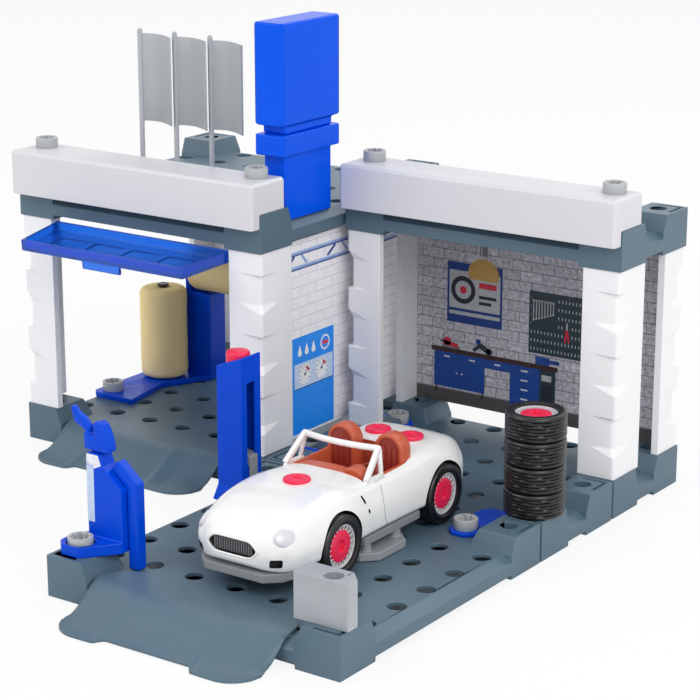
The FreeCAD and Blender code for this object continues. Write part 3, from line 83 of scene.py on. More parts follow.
def feed(tree, node, inputs):
    # gives each input its value, by a link where the value is another node's output
    for label, value in inputs.items():
        if isinstance(value, bpy.types.NodeSocket):
            tree.links.new(value, node.inputs[label])
        else:
            node.inputs[label].default_value = value
    return node.outputs[0] if node.outputs else None


def maths(tree, operation, *values, clamp=False):
    # one step of arithmetic on numbers or outputs
    return feed(tree, addNode(tree, "Math", operation=operation, use_clamp=clamp), dict(enumerate(values)))


def scaled(tree, color, factor):
    # a colour times a factor
    return feed(tree, addNode(tree, "VectorMath", operation="SCALE"), {0: color, "Scale": factor})


def noise(tree, place, **inputs):
    # a cloudy value between 0 and 1 over the place
    node = addNode(tree, "TexNoise")
    feed(tree, node, {"Vector": place} | {label.capitalize(): value for label, value in inputs.items()})
    return node.outputs["Fac"]


def newFinish(name):
    # makes a material, and gives its tree and its main shader
    finish = bpy.data.materials.new(name)
    finish.use_nodes = True
    return finish.node_tree, finish.node_tree.nodes["Principled BSDF"]


def seenBy(tree, *rays):
    # 1 for rays of the given kinds, 0 for all others
    kinds = addNode(tree, "LightPath").outputs
    seen = kinds[rays[0]]
    for ray in rays[1:]:
        seen = maths(tree, "MAXIMUM", seen, kinds[ray])
    return seen


def addSky(scene, level):
    # lights the set at the level, and is white to the camera, through clear pieces and in reflections
    scene.world = bpy.data.worlds.new("studioSky")
    scene.world.use_nodes = True
    tree = scene.world.node_tree
    seen = seenBy(tree, "Is Camera Ray", "Is Transmission Ray", "Is Glossy Ray")
    strength = feed(tree, addNode(tree, "MapRange"), {"Value": seen, "To Min": level, "To Max": 1.0})
    feed(tree, tree.nodes["Background"], {"Color": (1, 1, 1, 1), "Strength": strength})


def addFloor(scene, half, level, tone, glow, covered):
    # a matt sheet that glows to the camera, but not under the plates, so that their holes look down into shadow
    sheet = bpy.data.meshes.new("studioFloor")
    sheet.from_pydata([(-half, -half, level), (half, -half, level), (half, half, level), (-half, half, level)], [],
                      [(0, 1, 2, 3)])
    floor = bpy.data.objects.new("studioFloor", sheet)
    scene.collection.objects.link(floor)
    tree, shader = newFinish("floorPaper")
    feed(tree, shader, {"Base Color": (tone, tone, tone, 1), "Roughness": 0.9})
    split = addNode(tree, "SeparateXYZ")
    feed(tree, split, {0: addNode(tree, "TexCoord").outputs["Object"]})
    for middle, reach in covered:
        under = [maths(tree, "COMPARE", split.outputs[axis], middle[axis], reach[axis]) for axis in (0, 1)]
        glow = maths(tree, "SUBTRACT", glow, maths(tree, "MULTIPLY", *under), clamp=True)
    part = maths(tree, "MULTIPLY", seenBy(tree, "Is Camera Ray", "Is Transmission Ray"), glow)
    mixed = feed(tree, addNode(tree, "MixShader"),
                 {"Fac": part, 1: shader.outputs[0], 2: addNode(tree, "Emission").outputs[0]})
    feed(tree, tree.nodes["Material Output"], {"Surface": mixed})
    sheet.materials.append(bpy.data.materials["floorPaper"])


def addStudio(sky, aim, lamps):
    # sky, square lamps that face the set, and floor
    scene = bpy.context.scene
    scene.view_settings.view_transform = "Standard"
    addSky(scene, sky)
    for number, (place, width, watts) in enumerate(lamps):
        lamp = bpy.data.lights.new(f"lamp{number}", "AREA")
        lamp.energy, lamp.size = watts, width
        holder = bpy.data.objects.new(f"lamp{number}", lamp)
        holder.location = place
        holder.rotation_euler = (Vector(aim) - Vector(place)).to_track_quat("-Z", "Y").to_euler()
        scene.collection.objects.link(holder)
    addFloor(scene, **floorLook)


addCamera(**cameraView)
addStudio(**studio)
print("camera and studio set")


# shapes: each is a pair of points (in mm) and faces

def gridFaces(rows, columns):
    # joins the points of a grid to four-sided faces; every row closes on itself
    row = np.arange(rows - 1)[:, None] * columns
    here, there = np.arange(columns)[None, :], (np.arange(columns)[None, :] + 1) % columns
    return np.stack([row + here, row + there, row + columns + there, row + columns + here], -1).reshape(-1, 4)


def lofted(rings, caps=True):
    # a skin over closed rings of equal length, with the first and last ring as flat ends
    rings = np.asarray(rings, float)
    rows, columns = rings.shape[:2]
    faces = gridFaces(rows, columns).tolist()
    if caps:
        faces += [list(range(columns)), list(range((rows - 1) * columns, rows * columns))]
    return rings.reshape(-1, 3), faces


def turned(reach, angle, level):
    # points about z from their reach, angle and level
    return np.stack(np.broadcast_arrays(reach * np.cos(angle), reach * np.sin(angle), level), -1)


def lathe(profile, sides=48, lobes=8):
    # turns a profile of radius, height and wave about the axis; the wave adds wave * cos(lobes * angle)
    profile = np.array([(*row, 0)[:3] for row in profile], float)
    angle = np.linspace(0, 2 * np.pi, sides, endpoint=False)
    reach = profile[:, 0:1] + profile[:, 2:3] * np.cos(lobes * angle)[None, :]
    return lofted(turned(reach, angle, profile[:, 1:2]))


def softOutline(corners, radius, steps=4):
    # each corner of a closed outline becomes a curve (1-u)^2 A + 2u(1-u) P + u^2 B, A and B a radius away
    corners = np.asarray(corners, float)
    back, ahead = np.roll(corners, 1, -2) - corners, np.roll(corners, -1, -2) - corners
    backLong = np.linalg.norm(back, axis=-1, keepdims=True)
    aheadLong = np.linalg.norm(ahead, axis=-1, keepdims=True)
    radius = np.broadcast_to(np.asarray(radius, float)[..., None], backLong.shape)
    reach = np.minimum(radius, 0.48 * np.minimum(backLong, aheadLong))
    start, end = corners + back / backLong * reach, corners + ahead / aheadLong * reach
    u = np.linspace(0, 1, steps + 1)[:, None]
    bent = (1 - u) ** 2 * start[..., None, :] + 2 * u * (1 - u) * corners[..., None, :] + u ** 2 * end[..., None, :]
    return bent.reshape(*corners.shape[:-2], -1, corners.shape[-1])


def inset(outline, amount):
    # moves each edge of an anticlockwise outline inwards by the amount
    ahead = np.roll(outline, -1, 0) - outline
    ahead = ahead / np.maximum(np.linalg.norm(ahead, axis=1, keepdims=True), 1e-9)
    after = np.stack([-ahead[:, 1], ahead[:, 0]], 1)
    before = np.roll(after, 1, 0)
    return outline + amount * (before + after) / np.maximum(1 + (before * after).sum(1), 0.4)[:, None]


def laid(outline, level, axis):
    # puts a flat outline at a level along one axis
    level = np.full(len(outline), float(level))
    p, q = outline[:, 0], outline[:, 1]
    return np.stack({"x": [level, p, q], "y": [p, level, q], "z": [p, q, level]}[axis], -1)


def slab(outline, low, high, edge=0.6, axis="z", steps=3):
    # an outline pushed along an axis, with its rims rounded by quarter circles of the edge's radius
    outline = np.asarray(outline, float)
    if (outline[:, 0] * np.roll(outline[:, 1], -1) - outline[:, 1] * np.roll(outline[:, 0], -1)).sum() < 0:
        outline = outline[::-1]
    turn = np.linspace(0, np.pi / 2, steps + 1)
    ins, rise = edge * (1 - np.sin(turn)), edge * (1 - np.cos(turn))
    rings = [laid(inset(outline, i), low + r, axis) for i, r in zip(ins, rise)]
    rings += [laid(inset(outline, i), high - r, axis) for i, r in zip(ins[::-1], rise[::-1])]
    return lofted(rings)


def box(low, high, edge=0.4, axis="z", radius=0.8):
    # a block between two corners, rounded along the axis by the radius and round its ends by the edge
    p, q = {"x": (1, 2), "y": (0, 2), "z": (0, 1)}[axis]
    h = {"x": 0, "y": 1, "z": 2}[axis]
    corners = [(low[p], low[q]), (high[p], low[q]), (high[p], high[q]), (low[p], high[q])]
    return slab(softOutline(corners, radius), low[h], high[h], edge, axis, 2)


def stick(start, end, thick, wide, flat=(0, 0, 1)):
    # a bar between two points with a softened oblong section; flat is the way its width looks
    start, end = np.asarray(start, float), np.asarray(end, float)
    run = (end - start) / np.linalg.norm(end - start)
    side = np.cross(run, flat)
    side /= np.linalg.norm(side)
    face = np.cross(side, run)
    a, b = wide / 2, thick / 2
    section = softOutline([(-a, -b), (a, -b), (a, b), (-a, b)], 0.35 * min(thick, wide), 3)
    ring = section[:, :1] * side + section[:, 1:] * face
    small = ring * 0.8
    return lofted([small + start, ring + start + run * 0.3, ring + end - run * 0.3, small + end])


def ringRound(radius, thick, sides=48, around=14):
    # a ring: a small circle of the thickness carried round a large one
    a = np.linspace(0, 2 * np.pi, sides + 1)[:, None]
    b = np.linspace(0, 2 * np.pi, around, endpoint=False)[None, :]
    return lofted(turned(radius + thick * np.cos(b), a, thick * np.sin(b)), False)


def together(*shapes):
    # several shapes as one
    points, faces, count = [], [], 0
    for some, joined in shapes:
        points.append(some)
        faces += [[corner + count for corner in face] for face in joined]
        count += len(some)
    return np.concatenate(points), faces


def moved(shape, place=(0, 0, 0), turn=None):
    # turned first, then shifted
    points = shape[0] if turn is None else shape[0] @ np.asarray(turn, float).T
    return points + np.asarray(place, float), shape[1]


def turnAbout(axis, degrees):
    # the matrix of a turn about one axis
    return np.array(Matrix.Rotation(math.radians(degrees), 3, axis))


def aroundAxis(shape, count):
    # copies of a shape at equal turns about z
    return together(*[moved(shape, turn=turnAbout("Z", 360 * number / count)) for number in range(count)])


alongX = np.array([(0, 0, 1), (1, 0, 0), (0, 1, 0)], float)  # stands a shape's axis along +x
alongBackX = turnAbout("Z", 180) @ alongX


def smoothRows(keys, rows, at):
    # cubic curves through the rows, with each slope taken from the neighbours on both sides
    keys, rows, at = np.asarray(keys, float), np.asarray(rows, float), np.asarray(at, float)
    slope = np.gradient(rows, keys, axis=0)
    low = np.clip(np.searchsorted(keys, at, side="right") - 1, 0, len(keys) - 2)
    run = (keys[low + 1] - keys[low])[:, None]
    t = (at[:, None] - keys[low][:, None]) / run
    return ((1 + 2 * t) * (1 - t) ** 2 * rows[low] + t * (1 - t) ** 2 * run * slope[low]
            + t * t * (3 - 2 * t) * rows[low + 1] - t * t * (1 - t) * run * slope[low + 1])


nodeBody = {}
for bodyName, members in frame["record"]["behaviour"]["bodies"].items():
    for member in members:
        nodeBody[member] = bodyName
nodeSlot = {row["node"]: row["material_slot"] for row in frame["record"]["subparts"]}


def placed(name, mesh, sharp, body, nodes):
    # a smooth object with the mesh, on its body and in place of its nodes
    mesh.shade_smooth()
    mesh.set_sharp_from_angle(angle=math.radians(sharp))
    piece = bpy.data.objects.new(name, mesh)
    bpy.context.scene.collection.objects.link(piece)
    nodes = [nodes] if isinstance(nodes, str) else list(nodes)
    if body or nodes:
        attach(piece, body or nodeBody[nodes[0]])
    if nodes:
        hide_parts(*nodes)
    return piece


def newPiece(name, shape, finish, body=None, nodes=(), sharp=35, close=True):
    # an object with a shape's mesh and the finish or finishes named
    points, faces = shape
    mesh = bpy.data.meshes.new(name)
    mesh.from_pydata((np.asarray(points, float) * mm).tolist(), [], faces)
    for one in [finish] if isinstance(finish, str) else finish:
        mesh.materials.append(bpy.data.materials[one])
    if close:
        shell = bmesh.new()
        shell.from_mesh(mesh)
        bmesh.ops.remove_doubles(shell, verts=shell.verts, dist=2e-6)
        bmesh.ops.recalc_face_normals(shell, faces=shell.faces)
        shell.to_mesh(mesh)
        shell.free()
    return placed(name, mesh, sharp, body, nodes)


def roundEdges(piece, width, segments=3, angle=32, weights=False):
    # rounds edges that bend more than the angle, or by their weights
    change = piece.modifiers.new("edges", "BEVEL")
    change.width, change.segments = width * mm, segments
    change.limit_method = "WEIGHT" if weights else "ANGLE"
    change.angle_limit = math.radians(angle)
    change.use_clamp_overlap = False
    change.harden_normals = True
    change.miter_outer = "MITER_ARC" if not weights else "MITER_SHARP"


def wordsJoined(label):
    # some_words to someWords
    first, *others = label.split("_")
    return first + "".join(word.capitalize() for word in others)


def ownFinish(label):
    # the name of the finish for a solid's slot: "plateGrey" for plate_grey, and so on
    slot = nodeSlot[label]
    return "panelWhite" if slot == "printed_panel" else wordsJoined(slot)


def softCopy(label, width, segments, finish=None, prepare=None):
    # a copy of a solid's mesh with its triangles joined to flat faces and its edges rounded
    shell = bmesh.new()
    shell.from_mesh(frame["nodes"][label].data)
    bmesh.ops.remove_doubles(shell, verts=shell.verts, dist=2e-6)
    bmesh.ops.dissolve_limit(shell, angle_limit=math.radians(1.2), verts=shell.verts, edges=shell.edges)
    weighted = prepare(shell) if prepare else False
    name = wordsJoined(label) + "Moulding"
    mesh = bpy.data.meshes.new(name)
    shell.to_mesh(mesh)
    shell.free()
    mesh.materials.append(bpy.data.materials[finish or ownFinish(label)])
    roundEdges(placed(name, mesh, 12, None, label), width, segments, weights=weighted)


def cutAway(piece, shape, finish):
    # takes a shape out of a piece; the cut faces get the shape's own finish
    knife = newPiece("knife", shape, finish)
    cut = piece.modifiers.new("cut", "BOOLEAN")
    cut.object, cut.operation, cut.solver, cut.material_mode = knife, "DIFFERENCE", "EXACT", "TRANSFER"
    cut.use_self = True
    bpy.context.view_layer.update()
    mesh = bpy.data.meshes.new_from_object(piece.evaluated_get(bpy.context.evaluated_depsgraph_get()))
    piece.modifiers.clear()
    piece.data = mesh
    bpy.data.objects.remove(knife)
    mesh.set_sharp_from_angle(angle=math.radians(35))


def mouldedGroup():
    # moulded plastic: a slow cloud changes the tone, a fine noise gives the roughness and the grain's height
    group = bpy.data.node_groups.new("mouldedPlastic", "ShaderNodeTree")
    for label, kind, way in (("Color", "Color", "INPUT"), ("Tone", "Float", "INPUT"), ("Grain Size", "Float", "INPUT"),
                             ("Roughness", "Float", "INPUT"), ("Color", "Color", "OUTPUT"),
                             ("Roughness", "Float", "OUTPUT"), ("Height", "Float", "OUTPUT")):
        group.interface.new_socket(name=label, in_out=way, socket_type="NodeSocket" + kind)
    given, result = group.nodes.new("NodeGroupInput").outputs, group.nodes.new("NodeGroupOutput")
    place = addNode(group, "TexCoord").outputs["Object"]
    cloud = noise(group, place, scale=14.0, detail=3.0)
    grain = noise(group, place, scale=given["Grain Size"], detail=2.0)
    swing = maths(group, "MULTIPLY", maths(group, "SUBTRACT", cloud, 0.5), given["Tone"])
    feed(group, result, {"Color": scaled(group, given["Color"], maths(group, "MULTIPLY_ADD", swing, 2.0, 1.0)),
                         "Roughness": maths(group, "MULTIPLY_ADD", grain, 0.08, given["Roughness"]),
                         "Height": grain})
    return group


moulded = mouldedGroup()


def plastic(name, color, rough=0.35, tone=0.06, grain=900.0, bump=0.06, coat=0.0, specular=0.5, clear=0.0,
            metal=0.0):
    # one shader of moulded plastic with its own colour, gloss and grain
    tree, shader = newFinish(name)
    group = addNode(tree, "Group", node_tree=moulded)
    feed(tree, group, {"Color": (*color, 1), "Tone": tone, "Grain Size": grain, "Roughness": rough})
    relief = feed(tree, addNode(tree, "Bump"),
                  {"Strength": bump, "Distance": 0.0004, "Height": group.outputs["Height"]})
    feed(tree, shader, {"Base Color": group.outputs["Color"], "Roughness": group.outputs["Roughness"],
                        "Normal": relief, "Coat Weight": coat, "Coat Roughness": 0.08,
                        "Specular IOR Level": specular, "Transmission Weight": clear, "Metallic": metal})


plastic("plateGrey", (0.090, 0.148, 0.196), rough=0.34, tone=0.10, grain=700, bump=0.08, specular=0.4)
plastic("pillarWhite", (0.86, 0.86, 0.88), rough=0.32, tone=0.02)
plastic("towerBlue", (0.0, 0.090, 0.80), rough=0.2, tone=0.05, specular=0.12)
plastic("clipBlue", (0.0, 0.066, 0.66), rough=0.2, tone=0.05, specular=0.14)
plastic("doorBlue", (0.02, 0.20, 0.92), rough=0.08, tone=0.03, clear=0.8, specular=0.35)
plastic("panelWhite", (0.72, 0.71, 0.75), rough=0.4, tone=0.05)
plastic("screwGrey", (0.50, 0.52, 0.53), rough=0.25, tone=0.10, clear=0.15)
plastic("rollerFoam", (1.0, 0.79, 0.40), rough=0.85, tone=0.08, grain=2200, bump=0.5, specular=0.2)
plastic("pinBlack", (0.02, 0.02, 0.025))
plastic("screwRed", (0.84, 0.012, 0.075), tone=0.05)
plastic("axleSteel", (0.55, 0.56, 0.58), rough=0.25, metal=1.0)
plastic("flagSilver", (0.40, 0.42, 0.44), rough=0.38)
plastic("tyreBlack", (0.0045, 0.0045, 0.005), rough=0.27, tone=0.2, grain=1500, specular=0.55)
plastic("rimSilver", (0.62, 0.63, 0.65), rough=0.22, coat=0.3)
plastic("carWhite", (0.86, 0.86, 0.855), rough=0.16, tone=0.015, coat=0.5, bump=0.02)
plastic("interiorOrange", (0.56, 0.105, 0.045), rough=0.3, tone=0.12)
plastic("grilleBlack", (0.03, 0.03, 0.035), rough=0.3)
plastic("sillGrey", (0.235, 0.25, 0.262))
plastic("stopGrey", (0.36, 0.38, 0.41), rough=0.28, tone=0.35)
plastic("liftGrey", (0.30, 0.32, 0.34))
plastic("grilleGrey", (0.16, 0.16, 0.17), rough=0.3)
# painted shade: near black for the wheel wells, the dishes behind the spokes, and the grille, sockets, vents and seams
# cut into the body
plastic("wellDark", (0.012, 0.012, 0.014), rough=0.6)
plastic("seatRed", (0.30, 0.035, 0.022), rough=0.4, tone=0.1)
# painted shade: the fascias' white plastic, made darker than the pillars' white of the same plastic
plastic("fasciaWhite", (0.67, 0.665, 0.70), rough=0.34, tone=0.02)
plastic("lampClear", (0.84, 0.84, 0.90), rough=0.08, tone=0.02, clear=0.25, coat=0.6)


brickLook = {"Scale": 1.0, "Mortar Size": 0.00042, "Mortar Smooth": 0.5, "Brick Width": 0.0205, "Row Height": 0.0084}


def brickPrint(name, light, shade, joint, along, cloudy):
    # printed brickwork over the panel's plane, with slow clouds over the stones
    tree, shader = newFinish(name)
    split = addNode(tree, "SeparateXYZ")
    feed(tree, split, {0: addNode(tree, "TexCoord").outputs["Object"]})
    flat = feed(tree, addNode(tree, "CombineXYZ"), {"X": split.outputs[along], "Y": split.outputs["Z"]})
    bricks = feed(tree, addNode(tree, "TexBrick"), {"Vector": flat, "Color1": (*light, 1), "Color2": (*shade, 1),
                                                    "Mortar": (*joint, 1)} | brickLook)
    level = feed(tree, addNode(tree, "MapRange"), {
        "Value": noise(tree, flat, scale=330.0, detail=5.0), "From Min": 0.32, "From Max": 0.68,
        "To Min": 1 - cloudy, "To Max": 1 + cloudy * 0.35})
    feed(tree, shader, {"Base Color": scaled(tree, bricks, level), "Roughness": 0.42})


brickPrint("brickWhite", (0.98, 0.96, 0.99), (0.94, 0.92, 0.96), (0.70, 0.67, 0.74), "Y", 0.07)
brickPrint("brickGrey", (0.74, 0.72, 0.77), (0.60, 0.58, 0.63), (0.24, 0.22, 0.26), "X", 0.40)


def inkFinish():
    # printed ink: the colour comes with the mark, a fine noise keeps it from looking flat
    tree, shader = newFinish("inkPrint")
    speck = noise(tree, addNode(tree, "TexCoord").outputs["Object"], scale=260.0)
    level = feed(tree, addNode(tree, "MapRange"), {"Value": speck, "To Min": 0.78, "To Max": 1.18})
    mark = addNode(tree, "Attribute", attribute_name="ink").outputs["Color"]
    feed(tree, shader, {"Base Color": scaled(tree, mark, level), "Roughness": 0.4})


inkFinish()

for label, node in frame["nodes"].items():
    node.data.materials.clear()
    node.data.materials.append(bpy.data.materials[ownFinish(label)])
print("finishes on", len(frame["nodes"]), "solids")


# plates: round holes and softened edges on a copy of each moulding

plateLook = dict(margin=16.5, pitch=35.0, radius=6.5, least=6.0, most=7.6, side=8.0, cuts=4, bend=0.5)
plateEdge = 0.55


def plateShape(label, margin, pitch, radius, least, most, side, cuts, bend):
    # returns the step that makes the holes round and marks the edges to soften
    low, high = [np.array(corner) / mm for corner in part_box(label)]

    def holeDistance(shell):
        # each point's place, its offset from the middle of the nearest hole, and how long that is
        place = np.array([vert.co for vert in shell.verts])[:, :2] / mm
        across = (high[0] - margin - place[:, 0]) / pitch
        along = (place[:, 1] - low[1] - margin) / pitch
        off = np.stack([np.round(across) - across, along - np.round(along)], 1) * pitch
        reach = np.hypot(off[:, 0], off[:, 1])
        return place, off, reach, (reach > least) & (reach < most)

    def shape(shell):
        rim = holeDistance(shell)[3]
        shell.verts.ensure_lookup_table()
        rims = [edge for edge in shell.edges
                if rim[edge.verts[0].index] and rim[edge.verts[1].index]
                and abs(edge.verts[0].co.z - edge.verts[1].co.z) < 1e-5 and edge.calc_length() < side * mm]
        bmesh.ops.subdivide_edges(shell, edges=rims, cuts=cuts)
        shell.verts.index_update()
        place, off, reach, rim = holeDistance(shell)
        rounded = place + off * (radius / np.maximum(reach, 1e-6) - 1)[:, None]
        for vert, (x, y) in zip([v for v in shell.verts if rim[v.index]], rounded[rim] * mm):
            vert.co.x, vert.co.y = x, y
        shell.normal_update()
        weight = shell.edges.layers.float.new("bevel_weight_edge")
        for edge in shell.edges:
            edge[weight] = float(edge.calc_face_angle(0) > bend)
        return True

    return shape


for label in [name for name in frame["nodes"] if name.endswith("_plate")]:
    softCopy(label, plateEdge, 2, prepare=plateShape(label, **plateLook))
print("plates done")


# pillars: a wide rounding of the outer corner, a small one of the other edges

pillarLook = dict(corner=7.0, upright=0.8, sharp=0.5, bend=0.3, small=0.16)
pillarEdge = dict(width=3.0, segments=4)


def pillarShape(label, corner, upright, sharp, bend, small):
    # returns the step that gives each edge its share of the rounding's width
    low, high = [np.array(corner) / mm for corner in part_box(label)]
    outer = np.array([high[0] if "right" in label else low[0], low[1] if "front" in label else high[1]])

    def shape(shell):
        weight = shell.edges.layers.float.new("bevel_weight_edge")
        for edge in shell.edges:
            ends = np.array([vert.co for vert in edge.verts]) / mm
            run, bent = ends[1] - ends[0], edge.calc_face_angle(0)
            stands = abs(run[2]) > upright * np.linalg.norm(run)
            near = np.abs(ends[:, :2] - outer).max() < corner
            edge[weight] = 1.0 if stands and near and bent > sharp else small if bent > bend else 0.0
        return True

    return shape


for label in frame["nodes"]:
    if label.endswith("_pillar"):
        softCopy(label, **pillarEdge, prepare=pillarShape(label, **pillarLook))


# mouldings whose solids only need their edges rounded: width and steps of the rounding, and a finish of their own

# the fascias get a darker copy of the white plastic: painted shade
mouldings = dict(
    wash_fascia=(0.55, 3, "fasciaWhite"), workshop_fascia=(0.55, 3, "fasciaWhite"), joining_clips=(0.9, 3),
    gantry_frame=(0.8, 3), pump_body=(1.0, 3), pump_hose=(1.6, 4), lift_column=(0.7, 3),
    lift_carriage=(0.8, 3, "liftGrey"), corner_stop_block=(0.6, 3, "stopGrey"), tower_stem=(1.3, 4),
    tower_sign=(2.0, 4), car_chassis=(0.6, 3, "sillGrey"), wash_bay_door=(0.6, 2), roller_pins=(0.5, 2),
    lift_spindle=(0.3, 2), front_axle=(0.3, 2), rear_axle=(0.3, 2))
for label, values in mouldings.items():
    softCopy(label, *values)
print("mouldings rounded:", len(mouldings))


# screws with an eight-lobed socket

screwLook = dict(
    head=[(0, -12), (5.4, -12), (5.9, -11.4), (5.9, 0), (8.4, 0), (8.8, 0.5), (8.8, 7.3), (8.65, 7.75), (8.2, 8),
          (6.9, 8, 0.8), (6.5, 7.8, 1.1), (6.3, 7.2, 1.25), (6.1, 2.8, 1.25), (5.7, 2.6, 1.2), (0, 2.6)],
    heads=[(-20.5, 39.5, 242.5), (-230.5, 39.5, 242.5), (224.5, 144.5, 242.5), (14.5, 144.5, 242.5),
           (189.5, 4.5, 20.4), (14.5, 179.5, 20.4), (-20.5, 74.5, 20.4), (-230.5, 109.5, 22), (14.5, -205.5, 34)])
screwHead = lathe(screwLook["head"], 64)
newPiece("screws", together(*[moved(screwHead, place) for place in screwLook["heads"]]), "screwGrey",
         nodes="fastening_screws", sharp=40)

capLook = dict(radius=9.5, rise=2.0, socket=3.1)
capPlaces = [(125, -109, 76.2), (111, 9, 77.7), (139, 9, 77.7)]


def discScrew(radius, rise, socket):
    # a flat button with rounded rim and a small lobed socket
    return lathe([(radius - 0.4, -0.6), (radius, -0.2), (radius, rise - 0.9), (radius - 0.3, rise - 0.3),
                  (radius - 1.0, rise - 0.02), (radius - 3.2, rise + 0.12), (socket + 0.5, rise + 0.05, 0.25),
                  (socket, rise - 0.3, 0.5), (socket - 0.25, rise - 1.1, 0.5)], 64)


newPiece("bodyCaps", together(*[moved(discScrew(**capLook), place) for place in capPlaces]), "screwRed",
         nodes="body_screw_caps", sharp=40)
knobRows = [(5, 0), (8.4, 0.0), (8.9, 0.6), (8.9, 8.2), (8.6, 9.6), (7.6, 10.6), (6.0, 11.0), (0, 11.0)]
newPiece("liftKnob", moved(lathe(knobRows), (14.5, -30.5, 120.0)), "screwRed", nodes="lift_knob")
print("screws and caps done")


# pump nozzle: a thin bent spout, a thicker grip with a notch for the trigger and its peg
nozzleLook = dict(
    spout=[(-6.9, 125.2), (-4.8, 125.6), (-0.8, 121.2), (3.3, 119.8), (9.2, 114.1), (10.5, 109.4), (7.4, 107),
           (5.7, 109.4), (3.1, 111.3), (-4.2, 114.6), (-5.9, 118.8)],
    grip=[(5.7, 109.6), (9.0, 112.4), (10.4, 109.0), (14.4, 107.8), (14.7, 113.2), (13.6, 115.8), (17.3, 118.9),
          (21.3, 117.2), (24.4, 111.7), (27.2, 103.0), (27.2, 97.7), (21.3, 97.3), (13.4, 97.6), (5.8, 98.0)],
    spoutSides=(-187.5, -182.5), gripSides=(-189.6, -180.4), edge=1.1, pegTop=96.0, pegLow=92.0, pegHigh=99.0,
    guard=((9.6, -185, 112.6), (15.2, -185, 117.6), 1.3, 3.2))
corners = np.array([vert.co for vert in frame["nodes"]["pump_nozzle"].data.vertices]) / mm
corners = corners[corners[:, 2] < nozzleLook["pegTop"]]
peg = box((*(corners.min(0)[:2] + 0.05), nozzleLook["pegLow"]), (*(corners.max(0)[:2] - 0.05), nozzleLook["pegHigh"]),
          0.3, "z", 0.4)
newPiece("pumpNozzleShell", together(
    slab(softOutline(nozzleLook["spout"], 1.6), *nozzleLook["spoutSides"], nozzleLook["edge"], "y"),
    slab(softOutline(nozzleLook["grip"], 1.8), *nozzleLook["gripSides"], nozzleLook["edge"], "y"),
    peg, stick(*nozzleLook["guard"])), ownFinish("pump_nozzle"), nodes="pump_nozzle", sharp=50)
print("nozzle done")


# wheels: tyres with broken grooves, dished rims with spokes over a dish painted near black as shade, red hub screws

tyreLook = dict(outer=22.0, half=9.5, bore=15.55, sides=96, grooves=6, groove=0.8, breaks=7, bridge=0.08, shift=0.37)
wheelLook = dict(spokes=20, middle=125, high=40.2)


def tyreShape(outer, half, bore, sides, grooves, groove, breaks, bridge, shift):
    # sidewall profile turned round the axle; tread rows dip in V grooves, with a short bridge at each break
    wall = np.array([(bore, -half + 1.6), (bore + 0.2, -half + 0.7), (bore + 1.0, -half + 0.2), (bore + 2.2, -half),
                     (outer - 2.2, -half + 0.12), (outer - 1.0, -half + 0.5), (outer - 0.3, -half + 1.2),
                     (outer - 0.02, -half + 2.0)])
    level = np.linspace(-half + 2.3, half - 2.3, 4 * grooves + 1)
    deep = np.where(np.arange(len(level)) % 4 == 2, groove, 0.0)
    angle = np.linspace(0, 2 * np.pi, sides, endpoint=False)
    number = (np.arange(len(level)) // 4)[:, None]
    way = (angle[None, :] * breaks / (2 * np.pi) + shift * number) % 1.0
    tread = outer - deep[:, None] * np.where(way < bridge, 0.1, 1.0)
    reach = np.concatenate([np.repeat(wall[:, :1], sides, 1), tread, np.repeat(wall[::-1, :1], sides, 1)])
    height = np.concatenate([wall[:, 1], level, -wall[::-1, 1]])
    reach, height = np.concatenate([reach, reach[:1]]), np.append(height, height[0])
    return lofted(turned(reach, angle, height[:, None]), False)


def rimShape(spokes):
    # barrel, lip and dish turned round the axle, then thin spokes that stand over a separate dish painted near black as
    # shade
    barrel = lathe([(0, -4.5), (15.3, -4.5), (15.4, -4.2), (15.4, 4.1), (15.1, 4.45), (14.3, 4.5), (14.0, 4.2),
                    (13.9, 1.6), (13.7, 1.2), (0, 1.2)], 72)
    spoke = slab([(10.9, -0.42), (14.2, -0.5), (14.2, 0.5), (10.9, 0.42)], 1.5, 3.6, 0.2, "z", 1)
    return together(barrel, aroundAxis(spoke, spokes))


tyre, rim = tyreShape(**tyreLook), rimShape(wheelLook["spokes"])
# the dish behind the spokes, painted near black as the shade between them
dish = lathe([(0, 1.0), (13.75, 1.0), (13.75, 1.9), (0, 1.9)], 72)
hub = lathe([(11.3, -0.2), (11.3, 1.6), (11.0, 2.1), (10.3, 2.4), (5.2, 2.5), (4.4, 2.45, 0.4), (4.0, 2.0, 0.8),
             (3.8, 0.7, 0.8)], 64)
wheelParts = [  # piece, shape, distance from the car's middle, finish, node, angle of a sharp edge
    ("Tyres", tyre, 35.5, "tyreBlack", "_tyres", 40), ("Rims", rim, 38.5, "rimSilver", "_rims", 35),
    ("Dishes", dish, 38.5, "wellDark", None, 35), ("Hubs", hub, 40.0, "screwRed", "_hub_screws", 40)]
for name, y in (("front", -117.0), ("rear", 10.0)):
    for ending, shape, aside, finish, node, sharp in wheelParts:
        pair = [moved(shape, (wheelLook["middle"] + side * aside, y, wheelLook["high"]), turn)
                for turn, side in ((alongBackX, -1), (alongX, 1))]
        newPiece(name + ending, together(*pair), finish, body=None if node else name + "_wheels",
                 nodes=name + node if node else (), sharp=sharp)

spareLook = dict(x=224.5, y=39.5, low=39.5, pitch=19, turn=23, rim=99.5, hub=101.0)
spareAt = spareLook["x"], spareLook["y"]
for number in range(4):
    newPiece(f"spareTyre{number + 1}", moved(tyre, (*spareAt, spareLook["low"] + spareLook["pitch"] * number),
                                             turnAbout("Z", spareLook["turn"] * number)), "tyreBlack",
             nodes=f"spare_tyre_{number + 1}", sharp=40)
newPiece("spareRim", moved(rim, (*spareAt, spareLook["rim"])), "rimSilver", nodes="spare_rim")
# the spare's dish, painted near black as shade behind its spokes
newPiece("spareDish", moved(dish, (*spareAt, spareLook["rim"])), "wellDark", body="spare_4")
newPiece("spareHub", moved(hub, (*spareAt, spareLook["hub"])), "screwRed", nodes="spare_hub_screw", sharp=40)
print("wheels done")


# foam rollers: soft ends and a slightly uneven skin

